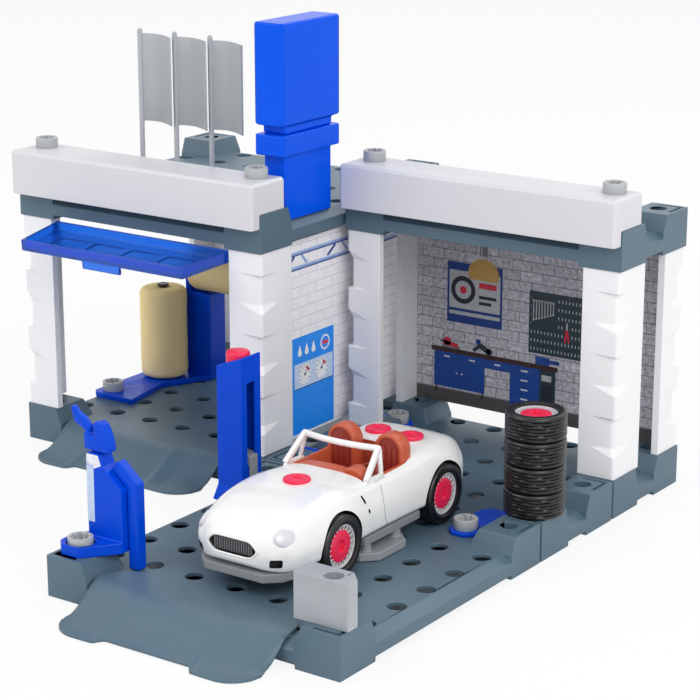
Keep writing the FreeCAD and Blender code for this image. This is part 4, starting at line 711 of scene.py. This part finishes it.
def foamRoller(long, radius, edge, seed, bore=3.2, uneven=0.22):
    # a turned sleeve whose skin moves in and out by a sum of slow waves
    turn = np.linspace(0, np.pi / 2, 7)
    foot = np.stack([radius - edge + edge * np.sin(turn), edge - edge * np.cos(turn)], 1)
    middle = np.stack([np.full(30, radius), np.linspace(edge, long - edge, 32)[1:-1]], 1)
    rows = np.concatenate([[(bore, 0.6), (bore + 0.5, 0.1)], foot, middle, foot[::-1] * (1, -1) + (0, long),
                           [(bore + 0.5, long - 0.1), (bore, long - 0.6), (bore, 0.6)]])
    angle = np.linspace(0, 2 * np.pi, 72, endpoint=False)[None, :]
    reach, level = rows[:, :1], rows[:, 1:]
    wave = (np.sin(2 * angle + level / 9 + seed) + np.sin(5 * angle - level / 5 + 2 * seed)
            + np.sin(3 * angle + level / 3.1)) / 3
    reach = reach - uneven * (1 + wave) * (reach > radius - 1.5)
    return lofted(turned(reach, angle, level), False)


for name, values, place, turn in (("upright", (78, 20.5, 5.5, 1.0), (-223, 169.5, 23), None),
                                  ("overhead", (118, 18.5, 5.0, 2.2), (-209.5, 200.5, 113.5), alongX)):
    foam = newPiece(name + "Foam", moved(foamRoller(*values), place, turn), "rollerFoam",
                    nodes=name + "_foam_roller", sharp=60)
print("rollers done")


# ramps: one sheet that rises in an S from its feet to the deck

rampLook = dict(half=80.5, front=-44.0, back=31.0, corner=22.0, brow=9.4, climb=17.7, skin=2.5, bay=41.0, deep=7.0)


def smoothStep(t):
    # 3t^2 - 2t^3, held at 0 and 1 outside
    t = np.clip(t, 0, 1)
    return t * t * (3 - 2 * t)


def rampShape(half, front, back, corner, brow, climb, skin, bay, deep):
    # x runs across and y from the front edge to the back edge; height follows a smooth step of the way up
    x, v = np.linspace(-half, half, 97)[:, None], np.linspace(0, 1, 45)[None, :]
    aside = np.clip((np.abs(x) - half + corner) / corner, 0, 1)
    curve = corner * (1 - np.sqrt(1 - np.minimum(aside, 0.9999) ** 2))
    near = front + curve + deep * smoothStep((bay - np.abs(x)) / deep)
    y = near + (back - curve - near) * v
    way = (y - near) / (brow - near)
    foot = smoothStep((np.abs(x) - bay + 5) / 16)
    rise = (1 - foot) * smoothStep(way * 1.02 + 0.05) + foot * smoothStep(way) ** 1.5
    z = skin + climb * rise - 0.5 * np.exp(-((np.abs(x) - bay) / 3.0) ** 2) * np.sin(np.pi * np.clip(way, 0, 1))
    points = np.stack([x + 0 * y, y, z], -1)
    rows, columns = points.shape[:2]
    row, column = np.arange(rows - 1)[:, None] * columns, np.arange(columns - 1)[None, :]
    faces = np.stack([row + column, row + columns + column, row + columns + column + 1, row + column + 1], -1)
    return points.reshape(-1, 3), faces.reshape(-1, 4).tolist()


for label, place in (("front_ramp", (116, -222, 0)), ("wash_ramp", (-129, 23, 0))):
    ramp = newPiece(wordsJoined(label) + "Sheet", moved(rampShape(**rampLook), place), ownFinish(label),
                    nodes=label, sharp=50, close=False)
    wall = ramp.modifiers.new("wall", "SOLIDIFY")
    wall.thickness, wall.offset = rampLook["skin"] * mm, -1
    roundEdges(ramp, 0.5, 2, 60)
print("ramps done")


# flags: a bowed sheet along a round-topped pole

flagLook = dict(pole=2.0, foot=205.9, top=338.9, low=265.9, high=334.9, wide=36.0, skin=1.4, y=74.5, lean=0.5056,
                bow=0.01944, wave=0.7)


def flagShape(x, y, pole, foot, top, low, high, wide, skin, lean, bow, wave):
    # the sheet's line is a parabola with a slow second wave; its section is pushed upwards
    s = np.linspace(0, wide, 25)
    line = np.stack([x + s, y + lean * s - bow * s * s + wave * np.sin(s / wide * 2 * np.pi)], 1)
    ahead = np.gradient(line, axis=0)
    side = np.stack([-ahead[:, 1], ahead[:, 0]], 1) / np.linalg.norm(ahead, axis=1, keepdims=True)
    cloth = slab(np.concatenate([line - side * skin / 2, (line + side * skin / 2)[::-1]]), low, high, 0.35, "z", 2)
    stem = lathe([(0, foot - 8), (5.7, foot - 8), (5.7, foot), (2.6, foot), (pole, foot + 1), (pole, top - 2),
                  (1.75, top - 1), (1.2, top - 0.3), (0, top)], 24)
    return together(cloth, moved(stem, (x, y, 0)))


for label, x in (("right_flag", -90.5), ("centre_flag", -125.5), ("left_flag", -160.5)):
    newPiece(wordsJoined(label) + "Sheet", flagShape(x, **flagLook), "flagSilver", nodes=label, sharp=50)
print("flags done")


# car body: rounded rings from nose to tail, then the openings

carLook = dict(
    place=(125.0, -181.0, 17.4),
    rings=[  # from nose, low half, low, belt half, belt, shoulder half, shoulder, crown half, crown
        (0, 20, 22, 26, 33, 21, 41, 11, 43.4), (10, 33, 18.7, 38, 32, 30, 45.5, 16, 48.6),
        (30, 41, 18.7, 44, 34, 36, 52, 18, 54), (64, 43, 18.7, 45, 38, 38, 57, 19, 58.5),
        (104, 41.5, 18.7, 43, 38, 36, 54.5, 18, 58), (150, 41.5, 18.7, 43, 38, 36.5, 54.5, 18, 57),
        (191, 43, 18.7, 45, 40, 38, 58, 19, 60), (218, 40, 20, 42, 40, 32, 56, 16, 57),
        (236, 28, 26, 30, 38, 22, 48, 11, 49)],
    radii=(5, 12, 11, 16), noseRound=6.0, noseShare=0.7, tailRound=7.0, tailShare=0.72, middle=33.0)
openLook = dict(
    wells=(64, 191), wellRadius=24.3, wellDeep=22.7, wellLevel=22.8, axleRoom=(23.3, 8.3, 28.1),
    pit=[(-33.4, 104.3), (33.4, 104.3), (33.4, 158), (27, 170.5), (-27, 170.5), (-33.4, 158)],
    pitRadii=[3, 3, 8, 5, 5, 8], vents=((93.5, 46.5, 6.5), (97.5, 37.5, 3.5)), ventLean=24,
    seam=[(119, 54.4), (116.5, 47), (115.5, 38), (117, 28), (122, 18)], seamHalf=0.22)


def carHull(place, rings, radii, noseRound, noseShare, tailRound, tailShare, middle):
    # ring corners follow smooth curves along the car; each ring's corners are rounded; the ends draw in
    table, near, far = np.array(rings, float), noseRound, tailRound
    long = table[-1, 0]
    at = np.concatenate([near * (1 - np.cos(np.linspace(0, np.pi / 2, 7))), np.linspace(near, long - far, 78)[1:-1],
                         long - far + far * np.sin(np.linspace(0, np.pi / 2, 7))])
    row = smoothRows(table[:, 0], table[:, 1:], at)
    right = row.reshape(-1, 4, 2)
    left = right[:, ::-1] * (-1, 1)
    ring = softOutline(np.concatenate([right, left], 1), radii + radii[::-1], 6)
    nose, tail = np.clip(at / near, 0, 1), np.clip((long - at) / far, 0, 1)
    draw = ((noseShare + (1 - noseShare) * np.sqrt(1 - (1 - nose) ** 2))
            * (tailShare + (1 - tailShare) * np.sqrt(1 - (1 - tail) ** 2)))
    middle = np.array([0, middle])
    ring = (ring - middle) * draw[:, None, None] + middle
    rings = np.stack([ring[..., 0], np.repeat(at[:, None], ring.shape[1], 1), ring[..., 1]], -1)
    return moved(lofted(rings), place)


def carAt(*shapes):
    # from the car's own place to the set's
    return moved(together(*shapes), carLook["place"])


def arch(half, low, top, steps=9):
    # an upright outline with a round top
    turn = np.linspace(0, np.pi, steps * 2)
    return np.array([(-half, low), (half, low)] + [(half * math.cos(t), top - half + half * math.sin(t)) for t in turn])


grilleOutline = softOutline([(-20, 34), (-15, 28.6), (15, 28.6), (20, 34), (15, 39.2), (-15, 39.2)],
                            [2.0, 7, 7, 2.0, 7, 7], 6)
carBody = newPiece("carBody", carHull(**carLook), ["carWhite", "wellDark", "interiorOrange"], nodes="car_body",
                   sharp=38)
well = lathe([(0, 0), (openLook["wellRadius"], 0), (openLook["wellRadius"], 40), (0, 40)], 72)
wide, long, top = openLook["axleRoom"]
wells = []
for y in openLook["wells"]:
    wells += [moved(well, (side * openLook["wellDeep"], y, openLook["wellLevel"]), turn)
              for side, turn in ((-1, alongBackX), (1, alongX))]
    wells.append(box((-wide, y - long, 5), (wide, y + long, top)))
# the cut faces inside the wheel wells are painted near black as shade
cutAway(carBody, carAt(*wells), "wellDark")
cutAway(carBody, carAt(slab(softOutline(openLook["pit"], openLook["pitRadii"], 6), 26, 90, 0.5)), "interiorOrange")

# fog lamp sockets, vents and door seams, whose cut faces are painted near black as shade in the recesses
fog = box((-4.2, -8, -3.0), (4.2, 4.5, 3.0), 0.5, "y", 1.6)
seam = np.array(openLook["seam"], float)
seam = smoothRows(np.arange(len(seam)), seam, np.linspace(0, len(seam) - 1, 25))
seam = np.concatenate([seam - (openLook["seamHalf"], 0), (seam + (openLook["seamHalf"], 0))[::-1]])
# the grille's opening behind the bars; its cut faces are painted near black as shade
slots = [slab(grilleOutline, -5, 3.0, 0.4, "y")]
for side in (-1, 1):
    slots.append(moved(fog, (side * 30.5, 7.0, 26.0), turnAbout("Z", side * 52)))
    lean = turnAbout("Z", 0 if side > 0 else 180) @ turnAbout("X", side * openLook["ventLean"])
    slots += [moved(box((38, -1.0, -long / 2), (50, 1.0, long / 2), 0.3, "x", 0.9), (0, y, z), lean)
              for y, z, long in openLook["vents"]]
    slots.append(slab(seam, *sorted((side * 37.2, side * 50)), 0.05, "x", 1))
cutAway(carBody, carAt(*slots), "wellDark")

# grille bars and surround, and the front lamps
bars = [box((x - 0.45, 0.9, 29.6), (x + 0.45, 2.2, 38.4), 0.2, "z", 0.3) for x in np.arange(-15, 15.1, 2.0)]
surround = lofted([laid(inset(grilleOutline, -out), level, "y") for out, level in (
    (0, 1.5), (0, -0.1), (0.5, -0.6), (1.1, -0.6), (1.5, 0.0), (1.5, 1.5), (0, 1.5))], False)
newPiece("grilleBars", carAt(*bars), "grilleGrey", body="car")
newPiece("grilleSurround", carAt(surround), "carWhite", body="car")


def bead(radii, sides=32, rows=17):
    # an ellipsoid
    rise = np.linspace(-np.pi / 2, np.pi / 2, rows)[:, None]
    turn = np.linspace(0, 2 * np.pi, sides, endpoint=False)[None, :]
    return lofted(np.stack([radii[0] * np.cos(rise) * np.cos(turn), radii[1] * np.cos(rise) * np.sin(turn),
                            radii[2] * np.sin(rise) + 0 * turn], -1), False)


lamps = [moved(bead((2.4, 9.0, 6.4)), (side * 33.5, 14.6, 42.1),
               turnAbout("Z", -side * 22) @ turnAbout("Y", -side * 28)) for side in (-1, 1)]
newPiece("frontLamps", carAt(*lamps), "lampClear", nodes="car_front_inserts", sharp=60)

# windscreen frame, quarter bars and rails; the header bows forward in a parabola through both heads
foot, head = (34.4, 104.5, 55.0), (31.0, 124.0, 73.0)
screenLook = dict(bow=6.0, rise=0.8, header=(2.0, 2.3), barFoot=(34.4, 122.5, 54.5), barHead=(31.2, 125.0, 72.4),
                  rail=[(101, 51.5), (127, 51.5), (125, 55.8), (105, 56.2)], railSides=(32.6, 35.2))
bends = []
for side in (-1, 1):
    flip = np.array((side, 1, 1))
    bends += [stick(foot * flip, head * flip, 4.4, 3.8, (0, 0.4, -1)),
              stick(screenLook["barFoot"] * flip, screenLook["barHead"] * flip, 3.2, 3.0, (0, 0.6, 1)),
              moved(bead((2.3, 2.3, 2.2), 16, 9), head * flip),
              slab(softOutline(screenLook["rail"], 1.5), *sorted(side * level for level in screenLook["railSides"]),
                   0.7, "x")]
across = np.linspace(-1, 1, 25)
bow = 1 - across ** 2
line = np.stack([across * head[0], head[1] - screenLook["bow"] * bow, head[2] + screenLook["rise"] * bow], 1)
around, (deep, high) = np.linspace(0, 2 * np.pi, 20, endpoint=False), screenLook["header"]
bends.append(lofted(line[:, None, :] + np.stack([0 * around, deep * np.cos(around), high * np.sin(around)], 1)))
newPiece("windscreenFrame", carAt(*bends), "carWhite", body="car", sharp=50)
print("car body done")


# car interior: tub, dash, seats and steering wheel

interiorLook = dict(
    tub=[(-33.1, 104.6), (33.1, 104.6), (33.1, 157.9), (26.8, 170.2), (-26.8, 170.2), (-33.1, 157.9)],
    tubRows=[(0, 26.3), (0, 53.2), (0.5, 53.9), (2.2, 53.9), (2.8, 53.2), (3.4, 30.0), (4.4, 29.3)],  # inset, level
    dash=[(-30, 40), (30, 40), (30, 53.5), (22, 56.4), (0, 57.6), (-22, 56.4), (-30, 53.5)],
    hood=[(11.5, 50), (29, 50), (28, 59), (20.2, 61.6), (12.5, 59)], seatAside=20.2,
    backRows=[(1.6, 163.6), (0.4, 163.2), (0, 162.2), (0, 153.6), (0.4, 152.4), (1.4, 151.8), (2.8, 151.9),
              (3.4, 152.8)])
tubOut = softOutline(interiorLook["tub"], openLook["pitRadii"], 6)
seatOut = arch(12.0, 29.5, 73.6)
seat = together(lofted([laid(inset(seatOut, ins), level, "y") for ins, level in interiorLook["backRows"]]),
                box((-12, 128.5, 29.4), (12, 153, 39.0), 2.2, "z", 4.0))
pad = together(slab(arch(9.0, 37.0, 70.2), 152.6, 154.8, 0.5, "y"),
               *[box((x - 1.5, 151.9, 40), (x + 1.5, 154, 66.5 - abs(x) * 0.7), 0.5, "z", 0.9) for x in (-4.6, 0, 4.6)],
               *[box((x - 1.6, 131, 37.5), (x + 1.6, 150, 39.7), 0.6, "z", 1.0) for x in (-6, -2, 2, 6)])
trim = [lofted([laid(inset(tubOut, ins), level, "z") for ins, level in interiorLook["tubRows"]]),
        slab(softOutline(interiorLook["dash"], 5), 104.8, 119.0, 2.0, "y"),
        slab(softOutline(interiorLook["hood"], 5), 108, 119.5, 1.6, "y")]
seats, pads = ([moved(shape, (side * interiorLook["seatAside"], 0, 0)) for side in (-1, 1)] for shape in (seat, pad))
newPiece("carInterior", carAt(*trim, *seats), "interiorOrange", nodes="car_interior", sharp=45)
newPiece("seatPads", carAt(*pads), "seatRed", body="car", sharp=45)

steerLook = dict(middle=(20.2, 126.9, 50.9), column=((20.2, 118.2, 46.6), (20.2, 126.9, 50.7)), lean=65,
                 ring=(7.4, 1.25), spokes=(0.3, 2.84, 4.71), reach=7.2)
ring = together(ringRound(*steerLook["ring"]), lathe([(2.4, -1.2), (2.6, 0), (2.2, 1.2), (0, 1.4)], 24),
                *[stick((0, 0, 0), (steerLook["reach"] * math.cos(a), steerLook["reach"] * math.sin(a), 0), 1.2, 2.0)
                  for a in steerLook["spokes"]])
newPiece("steeringWheel", carAt(moved(ring, steerLook["middle"], turnAbout("X", steerLook["lean"])),
                                stick(*steerLook["column"], 2.4, 2.4)), "seatRed", nodes="steering_wheel", sharp=50)
print("car interior done")


# prints: flat inks just proud of the panels, over a brick ground

inks = dict(white=(0.80, 0.82, 0.88), paper=(0.55, 0.66, 0.86), blue=(0.012, 0.16, 0.80), navy=(0.010, 0.05, 0.25),
            steel=(0.30, 0.42, 0.72), red=(0.72, 0.03, 0.06), dark=(0.018, 0.022, 0.035), slate=(0.022, 0.045, 0.055),
            wood=(0.055, 0.022, 0.018), cabinet=(0.014, 0.075, 0.36), amber=(0.62, 0.36, 0.10), pale=(0.55, 0.56, 0.58),
            floor=(0.10, 0.092, 0.092), grey=(0.20, 0.21, 0.23), sign=(0.010, 0.29, 0.98),
            bright=(0.95, 0.95, 0.97), pane=(0.62, 0.76, 0.96))


def rect(u, v, wide, high):
    # an oblong from its lower corner
    return np.array([(u, v), (u + wide, v), (u + wide, v + high), (u, v + high)], float)


def oval(u, v, radius, tall=None, steps=28, start=0, end=360):
    # points round an ellipse, or along a stretch of it
    turn = np.radians(np.linspace(start, end, steps, endpoint=end - start < 360))
    return np.stack([u + radius * np.cos(turn), v + (tall or radius) * np.sin(turn)], 1)


def stroke(u0, v0, u1, v1, wide):
    # an oblong along a line
    start, end = np.array([u0, v0], float), np.array([u1, v1], float)
    side = np.array([v0 - v1, u1 - u0]) / np.linalg.norm(end - start) * wide / 2
    return np.array([start - side, end - side, end + side, start + side])


def inked(*rows):
    # rows of ink, layer and measures: three measures for a disc, four for an oblong, five for a stroke
    shapes = {3: oval, 4: rect, 5: stroke}
    return [(shapes[len(row) - 2](*row[2:]), *row[:2]) for row in rows]


def printInks(name, marks, plane, axis, outward, node):
    # every mark is an outline with an ink and a layer; layers stand 0.04 mm apart
    points, faces, colours, count = [], [], [], 0
    for outline, ink, layer in marks:
        faces.append(list(range(count, count + len(outline))))
        count += len(outline)
        points.append(laid(np.asarray(outline, float), plane + outward * (0.06 + 0.04 * layer), axis))
        colours += [(*inks[ink], 1.0)] * len(outline)
    piece = newPiece(name, (np.concatenate(points), faces), "inkPrint", body=nodeBody[node], close=False)
    tint = piece.data.color_attributes.new("ink", "FLOAT_COLOR", "CORNER")
    tint.data.foreach_set("color", np.array(colours, np.float32).ravel())


# wash bay's right wall: two rails with struts near the top, and a sign with two dials
washMarks = []
for low, high in ((176.0, 179.8), (164.6, 168.4)):
    washMarks += inked(("steel", 1, 30.6, low, 227.8, high - low), ("navy", 2, 30.6, low, 227.8, 1.1),
                       ("pane", 2, 30.6, high - 0.9, 227.8, 0.9))
for number in range(9):
    y = 36 + 27 * number
    ink, lean = ("navy", 11) if number % 2 else ("steel", -7)
    washMarks += inked((ink, 1, y, 168.4, y + lean, 176.0, 2.4))
washMarks += inked(("bright", 1, 68.6, 31.5, 58.2, 81), ("sign", 2, 70.2, 32.5, 55, 78.4),
                   ("pane", 3, 72.8, 69.5, 50.8, 19.8), ("navy", 3, 72.8, 68.6, 50.8, 0.9))
for u, v in ((86.5, 79.4), (108.5, 79.4)):
    washMarks += inked(("bright", 4, u, v, 8.0), ("dark", 5, u, v, 1.2))
    for turn in np.radians(np.arange(-30, 211, 30)):
        way = np.array((math.cos(turn), math.sin(turn)))
        washMarks += inked(("dark", 5, *((u, v) + 6.0 * way), *((u, v) + 7.6 * way), 0.7))
    outer, inner = (oval(u, v, radius, steps=8, start=20, end=75) for radius in (6.6, 4.6))
    washMarks.append((np.concatenate([outer, inner[::-1]]), "red", 5))
    washMarks += inked(("dark", 6, u, v, u + 3.6, v + 4.2, 0.8))
for u in (80, 89, 98):  # drops and a round mark, in place of any lettering
    washMarks.append(([*oval(u, 97.5, 2.6, steps=16, start=150, end=390), (u, 104.5)], "bright", 3))
washMarks += inked(("bright", 3, 113.5, 99.5, 6.2), ("sign", 4, 113.5, 99.5, 4.8), ("red", 5, 109.9, 98.0, 7.2, 3.0))
printInks("washPrint", washMarks, -11.3, "x", 1, "wash_side_panel")

# workshop's back wall: floor, bench with drawers and cupboards
backMarks = inked(
    ("floor", 1, 5.6, 30.6, 227.8, 11.0), ("wood", 3, 20, 73.1, 118.5, 4.0), ("cabinet", 2, 22.5, 43.5, 48.3, 29.6),
    ("cabinet", 2, 70.8, 65.5, 24.2, 7.6), ("cabinet", 2, 95, 38.5, 27.2, 34.6), ("slate", 2, 122.2, 40, 14.5, 33.1),
    ("pale", 3, 124, 64, 9, 5), ("dark", 3, 125, 42, 9, 19), ("dark", 2, 24, 38.5, 1.6, 5),
    ("dark", 2, 68, 38.5, 1.6, 5))
for u, v in ((22.9, 65.6), (47.0, 65.6), (71.2, 66.0)):
    backMarks += inked(("navy", 3, u, v, 23.4, 0.5), ("white", 3, u + 9, v + 3.4, 5.6, 1.2))
backMarks += inked(*[("navy", 3, u, 43.5, 0.5, 29.6) for u in (46.4, 70.6, 94.8, 122.0)])
for v in 41.5 + 7.9 * np.arange(4):
    backMarks += inked(("navy", 3, 95.4, v, 26.4, 0.5), ("white", 3, 105, v + 3.4, 6.4, 1.3))
backMarks += inked(("white", 3, 44.2, 56.5, 0.8), ("white", 3, 49.2, 56.5, 0.8))
# a sign with a tyre and bars, and a lamp on its rod
backMarks += inked(
    ("navy", 1, 34.3, 99.8, 52.0, 50.4), ("pale", 2, 36.3, 112, 48, 31.5), ("pale", 2, 36.3, 106.6, 48, 3.0),
    ("dark", 3, 49.5, 127.8, 11.6), ("pale", 4, 49.5, 127.8, 7.6), ("red", 5, 49.5, 127.8, 3.2),
    ("red", 3, 64.5, 131.2, 16.5, 4.6), ("dark", 3, 64.5, 122.6, 16.5, 2.6), ("dark", 3, 64.5, 117.6, 11.5, 2.6),
    ("grey", 6, 68.5, 158, 68.5, 187.9, 7.5), ("pale", 7, 66.6, 158, 66.6, 187.9, 1.2))
backMarks.append((oval(68.5, 143.2, 14.5, 12.5, 24, -25, 205), "amber", 7))
# tools on the bench
backMarks += inked(
    ("grey", 4, 30, 77.1, 17, 2.2), ("red", 5, 31, 81.6, 45, 79.8, 3.6), ("red", 5, 35, 82.6, 3.6),
    ("dark", 6, 28.5, 82, 32, 82.6, 1.6), ("slate", 4, 60, 78.4, 66.5, 84.0, 3.0),
    ("slate", 4, 66, 84.0, 75.5, 78.6, 4.6), ("slate", 4, 75.0, 79.6, 2.9), ("navy", 5, 64.5, 86.6, 2.4),
    ("cabinet", 4, 118, 77.1, 13, 6.5), ("navy", 5, 126, 79, 14, 3.2))
# the peg board: slots in rows, spanners by size, pliers and drivers
backMarks += inked(("slate", 1, 111.3, 86, 92, 51),
                   *[("pale", 2, 113.2 + 3.1 * a, 88.6 + 6.9 * b, 0.8, 2.4) for a in range(29) for b in range(7)],
                   ("slate", 3, 113.5, 108.5, 22.5, 24.5))
for number in range(8):
    u, low = 115.5 + 2.55 * number, 129 - (15.5 - 0.9 * number)
    backMarks += inked(("pale", 4, u, low, u, 129, 0.9))
    backMarks += [(oval(u, 129, 1.15, steps=12), "pale", 4), (oval(u, low, 1.0, steps=12), "pale", 4),
                  (oval(u, 129, 0.5, steps=10), "slate", 5)]
backMarks += inked(("slate", 3, 142, 98, 8, 17), ("red", 4, 144.2, 98.8, 145.6, 110, 1.6),
                   ("red", 4, 147.8, 98.8, 146.2, 110, 1.6), ("pale", 5, 146, 109, 146, 115, 1.4))
for number in range(3):
    u = 166 + 11 * number
    backMarks += inked(("slate", 3, u - 1.5, 94, 9, 36), ("red", 4, u + 1.4, 98, 3.2, 13),
                       ("pale", 4, u + 2.3, 111, 1.4, 16 - 3 * number))
printInks("workshopPrint", backMarks, 220.7, "y", -1, "workshop_back_panel")
for label, finish in (("workshop_back_panel", "brickGrey"), ("wash_side_panel", "brickWhite")):
    softCopy(label, 0.4, 2, finish)

# the pump's white display label with blue ticks, and a pale blue strip below it
pumpMarks = [([(9.8, 88.6), (16.2, 86.2), (22.8, 89.4), (20.2, 96.2), (10.2, 96.2)], "white", 1),
             ([(9.7, 48), (15.9, 48), (16.2, 86.2), (9.8, 88.6)], "paper", 1)]
for number in range(4):
    u, v = 10.6 + 1.7 * number, 87.6 - 0.5 * number
    pumpMarks += inked(("blue", 2, u, v, u, v + 2.8, 0.6))
printInks("pumpPrint", pumpMarks, -192.0, "y", -1, "pump_body")
print("prints done")
